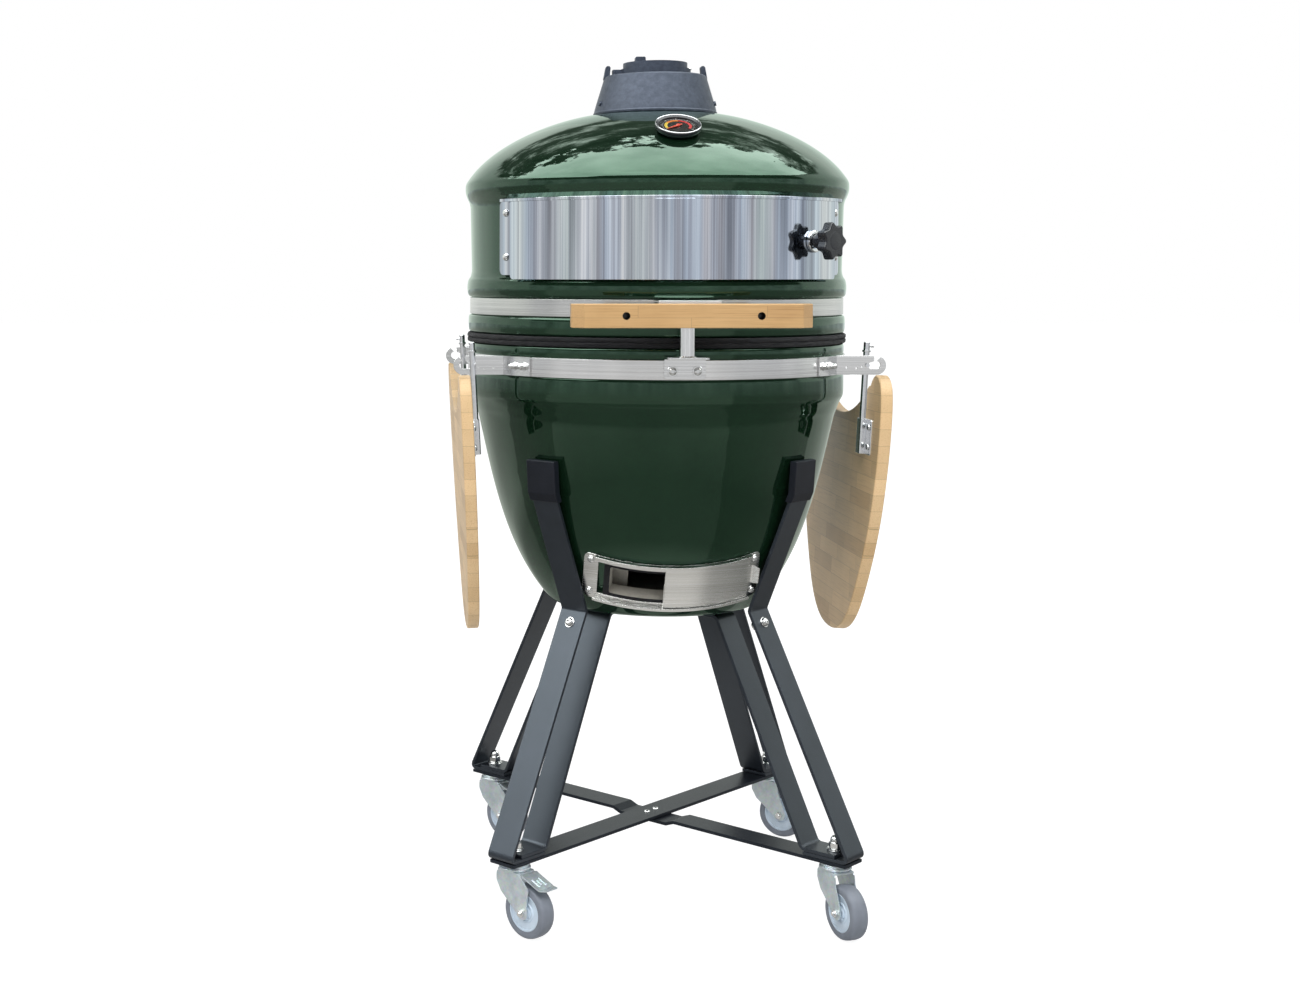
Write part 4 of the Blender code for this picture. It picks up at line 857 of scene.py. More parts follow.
# ============================================================ inside pieces
fb = turn("fire_box_clay", soft([(0.1978, 0.6140), (0.1755, 0.5350), (0.1322, 0.4605), (0.1120, 0.4605), (0.1240, 0.5000), (0.1400, 0.5000),
                                 (0.1780, 0.6140)], 0.003, 3), M_CLAY, 96)
fb = smooth(cut(fb, brick("am", (-0.056, -0.200, 0.440), (0.040, -0.080, 0.4960), M_CLAY, None, 0.0)))
give(fb, "base", "fireclay", "fire_box")
give(turn("fire_ring_clay", soft([(0.2178, 0.7600), (0.2178, 0.6900), (0.1998, 0.6145), (0.1790, 0.6145), (0.1960, 0.6900), (0.1980, 0.7600)], 0.003, 3),
          M_CLAY, 96), "base", "fireclay", "fire_ring")
slots = [rounded_rect(k * 0.014 - 0.0040, -sqrt(0.112 ** 2 - (k * 0.014) ** 2), k * 0.014 + 0.0040, sqrt(0.112 ** 2 - (k * 0.014) ** 2), 0.0035, 3) for k in range(-7, 8)]
give(prism("charcoal_grate_cast", [circle(0, 0, 0.1320, 72)] + slots, 0.0040, M_IRON, Matrix.Translation((0, 0, 0.5046)), 0.0010, 1, dissolve=False),
     "base", "cast_iron", "charcoal_grate")
wires = []
for k in range(-12, 13):
    x = k * 0.0168
    h = sqrt(0.2130 ** 2 - x * x)
    wires.append(cyl("gw", 0.0017, -h, h, M_CHROME, basis((x, 0, 0.7634), (0, 0, 1), (1, 0, 0)), 10))
for y in (-0.09, 0.09):
    h = sqrt(0.2130 ** 2 - y * y)
    wires.append(cyl("gc", 0.0013, -h, h, M_CHROME, basis((0, y, 0.7612), (0, 1, 0), (0, 0, 1)), 10))
wires.append(turn("gr", [(0.2145 + 0.0027 * cos(a), 0.7634 + 0.0027 * sin(a)) for a in [pi * 2 * i / 12 for i in range(12, 0, -1)]], M_CHROME, 120))
give(merge("cooking_grid_wires", wires, M_CHROME), "base", "chrome", "cooking_grid")
give(turn("pizza_stone_disc", [(0.0, 0.7820)] + soft([(0.1700, 0.7820), (0.1900, 0.7820), (0.1900, 0.7668), (0.1700, 0.7668)], 0.0035, 5, closed=False) + [(0.0, 0.7668)],
          M_STONE, 120, closed=False), "base", "cordierite", "pizza_stone")


# =================================================================== damper
db = turn("db", soft([(0.0560, 1.2178), (0.0735, 1.2180), (0.0760, 1.2160), (0.0898, 1.1700), (0.0912, 1.1640), (0.0922, 1.1625), (0.0922, 1.1590),
                      (0.0600, 1.1590), (0.0585, 1.1400), (0.0540, 1.1400), (0.0545, 1.1620), (0.0800, 1.1660), (0.0700, 1.2110), (0.0400, 1.2110), (0.0400, 1.2175)],
                     0.0014, 3), M_IRON, 120)
bits = [db]
for s in (0, pi):
    m = radial(s)
    bits.append(prism("pg", [soft([(0.0690, 1.2140), (0.0782, 1.2120), (0.0746, 1.2310), (0.0728, 1.2335), (0.0692, 1.2335), (0.0674, 1.2310)], 0.0018, 4)],
                      0.0055, M_IRON, m, 0.0010, 2))
for a, z in ((radians(196), 1.1748), (radians(-16), 1.1748)):
    d = Vector((cos(a), sin(a), 0.0))
    bits += [hexagon(along(d * 0.0868 + Vector((0, 0, z)), d + Vector((0, 0, 0.28))), 0.0070, 0.0, 0.0040, M_IRON)]
give(merge("damper_cone_cast", bits, M_IRON), "lid", "cast_iron", "damper_body")


def petals(r_mid, r_hole, n, start):
    return [circle(r_mid * cos(start + 2 * pi * i / n), r_mid * sin(start + 2 * pi * i / n), r_hole, 28) for i in range(n)]


sl = prism("sl", [circle(0, 0, 0.0528, 96)] + petals(0.026, 0.0095, 5, radians(90)), 0.0050, M_IRON, Matrix.Translation((0, 0, 1.2231)), 0.0009, 2, dissolve=False)
lg = prism("lg", [rounded_rect(-0.0645, -0.0085, -0.0480, 0.0085, 0.004)], 0.0048, M_IRON, Matrix.Translation((0, 0, 1.2230)), 0.0010, 2)
pv = turn("pv", [(0.0, 0.0032), (0.0030, 0.0030), (0.0042, 0.0016), (0.0044, 0.0), (0.0, 0.0)], M_NUT, 32, Matrix.Translation((0.0505, 0, 1.2278)), closed=False)
give(merge("damper_slide_cast", [sl, lg, pv]), "damper_slide", "cast_iron", "damper_slide_disc")
wp = prism("wp", [circle(0, 0, 0.0478, 96)] + petals(0.026, 0.0095, 5, radians(126)), 0.0045, M_IRON, Matrix.Translation((0, 0, 1.2330)), 0.0009, 2, dissolve=False)
fg = prism("fg", [soft([(-0.0310, 1.2340), (-0.0300, 1.2462), (-0.0288, 1.2475), (-0.0162, 1.2475), (-0.0150, 1.2462), (-0.0145, 1.2340)], 0.001, 3)], 0.0058, M_IRON,
           basis((0, 0, 0), (1, 0, 0), (0, 0, 1)), 0.0010, 2)
nt = turn("nt", [(0.0, 0.0026), (0.0040, 0.0024), (0.0056, 0.0012), (0.0058, 0.0), (0.0, 0.0)], M_IRON, 32, Matrix.Translation((0, 0, 1.2375)), closed=False)
give(merge("damper_wheel_cast", [wp, fg, nt], M_IRON), "damper_wheel", "cast_iron", "damper_wheel")


# ============================================================== thermometer
case = turn("thermometer_bezel", [(0.0305, 0.0106), (0.0308, 0.0113), (0.0313, 0.0115), (0.0318, 0.0113), (0.0320, 0.0107), (0.0319, 0.0098), (0.0307, 0.0098)],
            M_CHROME, 120, thermo_m)
give(case, "lid", "chrome", "thermometer_case")
body_side = turn("tb", [(0.0268, 0.0074), (0.0271, 0.0092), (0.0303, 0.0109), (0.0306, 0.0101), (0.0321, 0.0101), (0.0325, 0.0088), (0.0322, 0.0062), (0.0294, 0.0024), (0.0285, 0.0018), (0.0048, 0.0018), (0.0040, -0.0670),
                        (0.0, -0.0700), (0.0, 0.0066), (0.0266, 0.0066)], M_WELL, 120, thermo_m, closed=False)
give(body_side, "lid", "black_plastic")
dial = [turn("di", [(0.0, 0.0076), (0.0267, 0.0076), (0.0267, 0.0068), (0.0, 0.0068)], M_DIAL, 96, thermo_m, closed=False)]


def sector(r0, r1, a0, a1, z, mat, n=16):
    pts = arc(0, 0, r1, radians(a0), radians(a1), n) + arc(0, 0, r0, radians(a1), radians(a0), n)
    return prism("se", [pts], 0.00015, mat, thermo_m @ Matrix.Translation((0, 0, z)))


for a0, a1, mat in ((214, 142, M_YELLOW), (141, 82, M_ORANGE), (81, -34, M_RED)):
    dial.append(sector(0.0152, 0.0190, a0, a1, 0.0078, mat, 24))
for i in range(25):
    a = 214 - i * (248 / 24)
    long_tick = i % 4 == 0
    dial.append(sector(0.0206, 0.0242 if long_tick else 0.0224, a - (0.9 if long_tick else 0.5), a + (0.9 if long_tick else 0.5), 0.0078, M_WHITE, 1))
give(merge("thermometer_dial", dial), "lid", "black_plastic")
npts = [(-0.0070, -0.0012), (0.0, -0.0022), (0.0205, -0.0005), (0.0205, 0.0005), (0.0, 0.0022), (-0.0070, 0.0012)]
needle = prism("tn", [npts], 0.0003, M_NEEDLE, thermo_m @ Matrix.Translation((0, 0, 0.0089)) @ Matrix.Rotation(radians(215), 4, "Z"))
boss = turn("tnb", [(0.0, 0.0104), (0.0022, 0.0102), (0.0027, 0.0095), (0.0027, 0.0081), (0.0, 0.0081)], M_NEEDLE, 32, thermo_m, closed=False)
give(merge("thermometer_pointer", [needle, boss], M_NEEDLE), "thermometer_needle", "needle_red", "thermometer_needle")


# ============================================================= handle, post
bar = prism("hb", [soft([(-0.1600, -0.3208), (-0.1600, -0.3360), (-0.1440, -0.3520), (0.1440, -0.3520), (0.1600, -0.3360), (0.1600, -0.3208)], 0.002, 3)],
            0.0160, M_HANDLE, Matrix.Translation((0, 0, 0.8665)), 0.0016, 3)
# the bores' walls take the near-black from their cutters: painted shade in the holes
shaded_bore_cutters, inner = [], []
for s in (1, -1):
    m = along((s * 0.0890, -0.3520, 0.8665), (0, 1, 0))
    shaded_bore_cutters.append(cyl("bo", 0.0052, -0.0005, 0.0160, M_SCREW_BLACK_AND_BORE_SHADE, m, 40))
    inner.append(m)
bar = smooth(cut(bar, *shaded_bore_cutters))
bar.name = "handle_bamboo"
give(bar, "lid", "bamboo", "handle_bar")
heads = []
for m in inner:
    o = m.translation
    heads.append(turn("bh", [(0.0, 0.0), (0.0018, 0.0), (0.0020, 0.0012), (0.0040, 0.0010), (0.0046, 0.0), (0.0046, -0.003), (0.0, -0.003)], M_SCREW_BLACK_AND_BORE_SHADE, 32,
                      along(o + Vector((0, 0.0118, 0)), (0, -1, 0)), closed=False))
    # a thin near-black liner tube down each bore: painted shade
    heads.append(turn("bt", [(0.00515, 0.0), (0.00515, -0.0145), (0.0049, -0.0145), (0.0049, 0.0)], M_SCREW_BLACK_AND_BORE_SHADE, 40, along(o + Vector((0, 0.0008, 0)), (0, -1, 0))))
give(merge("handle_screws", heads, M_SCREW_BLACK_AND_BORE_SHADE), "lid", "cast_iron")
hb = [brick("h1", (-0.042, -0.2812, 0.8635), (0.042, -0.2786, 0.8865), M_STEEL, None, 0.0004),
      prism("h2", [soft([(-0.042, -0.3202), (0.042, -0.3202), (0.042, -0.2790), (-0.042, -0.2790)], 0.002, 3)], 0.0012, M_STEEL,
            Matrix.Translation((0, 0, 0.8852)), 0.0004, 2),
      brick("h3", (-0.105, -0.3206, 0.8540), (0.105, -0.3180, 0.8812), M_STEEL, None, 0.0004),
      brick("h4", (-0.042, -0.3204, 0.8700), (0.042, -0.3180, 0.8862), M_STEEL, None, 0.0004)]
for s in (1, -1):
    hb += acorn(along((s * 0.0890, -0.3180, 0.8665), (0, 1, 0)), 0.75)
give(merge("handle_bracket_steel", hb), "lid", "brushed_stainless", "handle_bracket")

pb = [prism("p1", [rounded_rect(-0.0285, 0.7790, 0.0285, 0.8070, 0.003)], 0.0015, M_STEEL, basis((0, -0.2821, 0), (1, 0, 0), (0, 0, 1)), 0.0005, 2),
      prism("p2", [soft([(-0.0285, -0.2806), (-0.0285, -0.3140), (0.0285, -0.3140), (0.0285, -0.2806)], 0.005, 5)], 0.0015, M_STEEL,
            Matrix.Translation((0, 0, 0.8081)), 0.0005, 2),
      turn("p3", [(0.0, 0.8720), (0.0096, 0.8720), (0.0105, 0.8711), (0.0105, 0.8096), (0.0, 0.8096)], M_STEEL_Z_PAINTED_HIGHLIGHT, 64, Matrix.Translation((0, -0.2998, 0)), closed=False),
      turn("p4", [(0.0125, 0.8110), (0.0128, 0.8096), (0.0100, 0.8096), (0.0100, 0.8115)], M_STEEL, 64, Matrix.Translation((0, -0.2998, 0)))]
for s in (1, -1):
    m = along((s * 0.0170, -0.2836, 0.7898), (0, -1, 0))
    pb += [washer(m, 0.0075, 0.003, 0.0012), button(m @ Matrix.Translation((0, 0, 0.0012)), 0.0056, 0.0040)]
give(merge("post_bracket_steel", pb), "base", "brushed_stainless", "latch_post")


# ==================================================================== hinge
def lug(x, half, pts, a0, a1):
    o = prism("lu", [pts + arc(HINGE_Y, HINGE_Z, 0.0110, a0, a1, 24), circle(HINGE_Y, HINGE_Z, 0.0054, 40)], half, M_STEEL,
              basis((x, 0, 0), (0, 1, 0), (0, 0, 1)), 0.0004, 1, dissolve=False)
    return o


low = [prism("hl", [rounded_rect(-0.050, 0.7780, 0.050, 0.8044, 0.003)], 0.0015, M_STEEL, basis((0, 0.2821, 0), (1, 0, 0), (0, 0, 1)), 0.0005, 2)]
upp = [prism("hu", [rounded_rect(-0.050, 0.8630, 0.050, 0.8865, 0.003)], 0.0014, M_STEEL, basis((0, 0.2792, 0), (1, 0, 0), (0, 0, 1)), 0.0005, 2)]
for s in (1, -1):
    low.append(lug(s * 0.0320, 0.0015, [(0.2830, 0.8044), (0.2830, 0.7780), (0.2920, 0.7780)], radians(-45), radians(150)))
    upp.append(lug(s * 0.0370, 0.0015, [(0.3040, 0.8865), (0.2800, 0.8865), (0.2800, 0.8640)], radians(-155), radians(40)))
    for dz in (0.7860, 0.7968):
        low += [hexagon(along((s * 0.0430, 0.2836, dz), (0, 1, 0)), 0.0080, 0.0, 0.0042)]
    for dz in (0.8690, 0.8806):
        upp += [hexagon(along((s * 0.0445, 0.2806, dz), (0, 1, 0)), 0.0070, 0.0, 0.0036)]
give(merge("hinge_lower_steel", low), "base", "brushed_stainless", "hinge_lower_bracket")
give(merge("hinge_upper_steel", upp), "lid", "brushed_stainless", "hinge_upper_bracket")
pin = [cyl("hp", 0.0049, -0.0440, 0.0440, M_CHROME, basis((0, HINGE_Y, HINGE_Z), (0, 1, 0), (0, 0, 1)), 40, 0.0006)]
for s in (1, -1):
    pin.append(hexagon(along((s * 0.0398, HINGE_Y, HINGE_Z), (s, 0, 0)), 0.0130, 0.0, 0.0060))
give(merge("hinge_pin_bolt", pin, M_CHROME), "base", "chrome", "hinge_pin")


def coil(name, radius, wire, x0, x1, turns, n=16):
    cu = bpy.data.curves.new(name, "CURVE")
    cu.dimensions = "3D"
    cu.bevel_depth = wire
    cu.bevel_resolution = 3
    cu.use_fill_caps = True
    sp = cu.splines.new("POLY")
    k = int(turns * n)
    pts = [(x0 + (x1 - x0) * i / k, HINGE_Y + radius * cos(2 * pi * i / n - 1.9), HINGE_Z + radius * sin(2 * pi * i / n - 1.9)) for i in range(k + 1)]
    first = Vector(pts[0])
    pts = [(first.x, 0.2872, 0.8005)] + pts
    sp.points.add(len(pts) - 1)
    for p, q in zip(sp.points, pts):
        p.co = (*q, 1.0)
    ob = bpy.data.objects.new(name, cu)
    bpy.context.scene.collection.objects.link(ob)
    cu.materials.append(M_CHROME)
    return smooth(freeze(ob), 60)


give(merge("hinge_helper_spring", [coil("cs", 0.0078, 0.0013, 0.0285, 0.0030, 8.3), coil("ct", 0.0078, 0.0013, -0.0285, -0.0030, 8.3)], M_CHROME), "base", "chrome")


# ============================================================= side shelves
def hung(sx):
    """Turn about the shelf's pivot, so that its bottom swings in."""
    at = Matrix.Translation((sx * SHELF_X, 0, SHELF_Z))
    return at @ Matrix.Rotation(sx * SHELF_TILT, 4, "Y") @ at.inverted()


def arm(sx, sy):
    r = 0.2820
    a0, a1 = radians(46.0), radians(56.6)
    pts = [(r * sin(a0 + (a1 - a0) * i / 10), -r * cos(a0 + (a1 - a0) * i / 10)) for i in range(11)]
    pts = pts[:-1] + [(0.2370, -SHELF_Y), (0.3120, -SHELF_Y)]
    plan = prism("pl", [strip(pts, 0.003)], 0.0140, M_STEEL, Matrix.Translation((0, 0, SHELF_Z)))
    side = ([(0.1900, -0.0135), (0.2950, -0.0135)] + arc(0.2950, 0.0, 0.0135, -pi / 2, radians(62), 20)
            + [(0.2955, 0.0060)] + arc(0.2950, 0.0005, 0.0055, radians(80), -pi / 2, 14)
            + [(0.2880, -0.0050)] + arc(0.2875, 0.0000, 0.0050, -pi / 2, -pi, 8) + [(0.2830, 0.0030), (0.2900, 0.0050),
               (0.2915, 0.0065), (0.2915, 0.0135), (0.1900, 0.0135)])
    holes = [circle(0.2520, -0.003, 0.0014, 16), circle(0.2660, -0.004, 0.0014, 16), circle(0.2740, -0.002, 0.0012, 16)]
    face = prism("fa", [side] + holes, 0.060, M_STEEL, basis((0, -0.175, SHELF_Z), (1, 0, 0), (0, 0, 1)), 0.0, dissolve=False)
    ob = cut(plan, face, op="INTERSECT")
    ob = bevel(ob, 0.0004, 1)
    bm = bmesh.new()
    bm.from_mesh(ob.data)
    for v in bm.verts:
        v.co = (v.co.x * sx, v.co.y * -sy, v.co.z)
    bmesh.ops.recalc_face_normals(bm, faces=bm.faces)
    bm.to_mesh(ob.data)
    bm.free()
    return smooth(ob)


for tag, sx, sy in (("FL", -1, 1), ("FR", 1, 1), ("RL", -1, -1), ("RR", 1, -1)):
    bits = [arm(sx, -sy)]
    for az in (48.2, 52.0):
        a = radians(az)
        d = Vector((sx * sin(a), -sy * cos(a), 0))
        bits += acorn(along(d * 0.2835 + Vector((0, 0, SHELF_Z)), d), 0.72)
    give(merge("shelf_arm_" + tag, bits), "base", "brushed_stainless", "shelf_bracket_" + tag)
    # rod with its catch, pivot and foot sleeve
    y = -sy * SHELF_Y + sx * 0.0070
    x = sx * SHELF_X
    tilt = hung(sx)
    at = tilt @ Matrix.Translation((x, y, 0))
    bits = [turn("rs", [(0.0, 0.8250)] + soft([(0.0036, 0.8250), (0.0045, 0.8240), (0.0045, 0.7160)], 0.0004, 2, closed=False) + [(0.0045, 0.6720), (0.0, 0.6720)],
                 M_CHROME, 40, at, closed=False),
            turn("rc", [(0.0, 0.0100), (0.0017, 0.0100), (0.0022, 0.0095), (0.0022, 0.0), (0.0, 0.0)], M_CHROME, 24,
                 tilt @ along((x, y, 0.8190), (sx, 0, 0)), closed=False),
            turn("rg", [(0.0058, 0.8130), (0.0060, 0.8125), (0.0060, 0.8105), (0.0058, 0.8100), (0.0040, 0.8100), (0.0040, 0.8130)], M_CHROME, 32, at)]
    sleeve = prism("sl", [rounded_rect(-0.0052, -0.0100, 0.0052, 0.0100, 0.0028)], 0.0250, M_CHROME, tilt @ Matrix.Translation((x, y, 0.6900)), 0.0006, 2)
    bits.append(sleeve)
    e = -sy
    flange = prism("fn", [rounded_rect(min(e * 0.0080, e * 0.0340), -0.0250, max(e * 0.0080, e * 0.0340), 0.0250, 0.0030)], 0.0009, M_CHROME,
                   tilt @ basis((x + sx * 0.0043, y, 0.6900), (0, 1, 0), (0, 0, 1)), 0.0004, 2)
    bits.append(flange)
    for dz in (0.6760, 0.7040):
        bits.append(button(tilt @ along((x + sx * 0.0034, y + e * 0.0240, dz), (-sx, 0, 0)), 0.0044, 0.0026))
    # the pivot pin runs from the rod to its arm
    bits.append(turn("rp", [(0.0, 0.0082), (0.0026, 0.0082), (0.0028, 0.0078), (0.0028, -0.0082), (0.0, -0.0082)], M_CHROME, 24,
                     tilt @ along((x, y - sx * 0.0035, SHELF_Z), (0, 1, 0)), closed=False))
    give(merge("shelf_rod_steel_" + tag, bits, M_CHROME), "shelf_left" if sx < 0 else "shelf_right", "chrome", "shelf_rod_" + tag)


def shelf(name, sx, node, body):
    """Arc round the body, a rounded horn each side, a pointed foot."""
    top = [(-0.1480 + 0.2960 * i / 48, 0.7150 + 0.2543 - sqrt(0.2543 ** 2 - (-0.1480 + 0.2960 * i / 48) ** 2)) for i in range(49)]
    horn = [(0.1560, 0.7632), (0.1610, 0.7690), (0.1670, 0.7742), (0.1750, 0.7782), (0.1840, 0.7795), (0.1980, 0.7745), (0.2095, 0.7640),
            (0.2155, 0.7480), (0.2180, 0.7280), (0.2182, 0.7050), (0.2160, 0.6720), (0.2110, 0.6400),
            (0.2040, 0.6080), (0.1945, 0.5760), (0.1805, 0.5420), (0.1635, 0.5090), (0.1410, 0.4720),
            (0.1150, 0.4370), (0.0880, 0.4130), (0.0600, 0.3980), (0.0300, 0.3900)]
    edge = catmull([(0.1480, 0.7625)] + horn + [(0.0, 0.3880)], 3)[1:]
    pts = top + edge + [(-y, z) for y, z in edge[-2::-1]]
    ob = prism(name, [pts], BOARD_T / 2, M_BOARD, hung(sx) @ basis((sx * (BOARD_IN + BOARD_T / 2), 0, 0), (0, 1, 0), (0, 0, 1)), 0.0038, 4)
    return give(ob, body, "bamboo", node)


for side_board in (shelf("shelf_bamboo_left", -1, "shelf_board_left", "shelf_left"), shelf("shelf_bamboo_right", 1, "shelf_board_right", "shelf_right")):
    side_board.visible_glossy = False


# ===================================================================== cart
Z_OUT_TAB = Z_BRACE_TOP + 0.0003 + BAR_T / 2
Z_IN_TAB = Z_OUT_TAB + BAR_T + 0.0003
ARM_TIP = [(0.2602, 0.6560), (0.2568, 0.6120)]
OUT_PATH = ARM_TIP + [(0.1865, 0.4370), (0.3500, Z_OUT_TAB), (0.2780, Z_OUT_TAB)]
for tag, th in CORNERS.items():
    leg = prism("cart_leg_" + tag, [strip(soft(OUT_PATH, 0.007, 8, closed=False), BAR_T)], BAR_W / 2, M_POWDER, radial(th), 0.0009, 2)
    give(leg, "base", "black_powder_coat", "cart_outer_leg_" + tag)
    tip = Vector(ARM_TIP[0])
    d = (Vector(ARM_TIP[1]) - tip).normalized()
    nrm = Vector((-d.y, d.x))
    t0, t1 = -0.0030, 0.0560
    box = [tuple(tip + d * t0 + nrm * 0.0056), tuple(tip + d * 0.044 + nrm * 0.0056), tuple(tip + d * t1 + nrm * 0.0056 + Vector((-0.0045, 0))),
           tuple(tip + d * t1 - nrm * 0.0048 + Vector((-0.0045, 0))), tuple(tip + d * 0.044 - nrm * 0.0048), tuple(tip + d * t0 - nrm * 0.0048)]
    cap = prism("arm_cap_soft_" + tag, [soft(box, 0.002, 4)], BAR_W / 2 + 0.0028, M_CAP, radial(th), 0.0026, 4)
    give(cap, "base", "cap_rubber", "arm_cap_" + tag)

for name, th, ztop in (("cart_inner_frame_A", CORNERS["FL"], 0.4271), ("cart_inner_frame_B", CORNERS["FR"], 0.4216)):
    half = [(0.0, ztop), (0.1300, ztop), (0.2760, Z_IN_TAB), (0.3290, Z_IN_TAB)]
    path = [(-x, z) for x, z in half[::-1]] + half[1:]
    ob = prism(name.replace("cart_", "cart_bent_"), [strip(soft(path, 0.010, 8, closed=False), BAR_T)], BAR_W / 2, M_POWDER, radial(th), 0.0009, 2)
    give(ob, "base", "black_powder_coat", name)
END = 0.3460
zb = Z_BRACE_TOP - BAR_T / 2
ob = prism("brace_straight_bar", [soft([(-END, -BAR_W / 2), (END, -BAR_W / 2), (END, BAR_W / 2), (-END, BAR_W / 2)], 0.003, 3)], BAR_T / 2, M_BRACE,
           Matrix.Translation((0, 0, zb)) @ Matrix.Rotation(CORNERS["FL"], 4, "Z"), 0.0009, 2)
give(ob, "base", "black_powder_coat", "cart_brace_straight")
jog = [(0.0, zb - 0.0053), (0.0420, zb - 0.0053), (0.0560, zb), (END, zb)]
jog = [(-x, z) for x, z in jog[::-1]] + jog[1:]
ob = prism("brace_joggled_bar", [strip(soft(jog, 0.006, 5, closed=False), BAR_T)], BAR_W / 2, M_BRACE, radial(CORNERS["FR"]), 0.0009, 2)
give(ob, "base", "black_powder_coat", "cart_brace_joggled")

nuts = []
for tag, th in CORNERS.items():
    e = Vector((cos(th), sin(th), 0))
    foot = e * (CASTER_X * sqrt(2))
    m = along(foot + Vector((0, 0, Z_IN_TAB + BAR_T / 2)), (0, 0, 1))
    nuts += [washer(m, 0.0120, 0.005, 0.0020)] + acorn(m @ Matrix.Translation((0, 0, 0.0020)), 1.32)
    # button bolt through the leg and the bent frame at the neck
    t = (0.4370 - 0.4190) / (0.4370 - Z_OUT_TAB)
    r = 0.1865 + (0.3500 - 0.1865) * t
    dl = Vector((0.3500 - 0.1865, Z_OUT_TAB - 0.4370)).normalized()
    n2 = Vector((-dl.y, dl.x))
    p = e * (r + n2.x * BAR_T / 2) + Vector((0, 0, 0.4190 + n2.y * BAR_T / 2))
    n3 = e * n2.x + Vector((0, 0, n2.y))
    nuts += [washer(along(p, n3), 0.0078, 0.003, 0.0012), button(along(p + n3 * 0.0012, n3), 0.0064, 0.0046)]
    q = p - n3 * BAR_T
    nuts += [turn("sp", [(0.0060, 0.0), (0.0060, -0.0135), (0.0, -0.0135), (0.0, 0.0)], M_NUT, 28, along(q, n3))]
bd = Vector((cos(CORNERS["FL"]), sin(CORNERS["FL"]), 0))
for s in (1, -1):
    nuts.append(button(along(bd * s * 0.0106 + Vector((0, 0, Z_BRACE_TOP)), (0, 0, 1)), 0.0046, 0.0022))
    nuts += [hexagon(along(bd * s * 0.0106 + Vector((0, 0, Z_BRACE_TOP - 2 * BAR_T - 0.0003)), (0, 0, -1)), 0.0080, 0.0, 0.0040)]
give(merge("cart_fasteners", nuts, M_NUT), "base", "chrome")


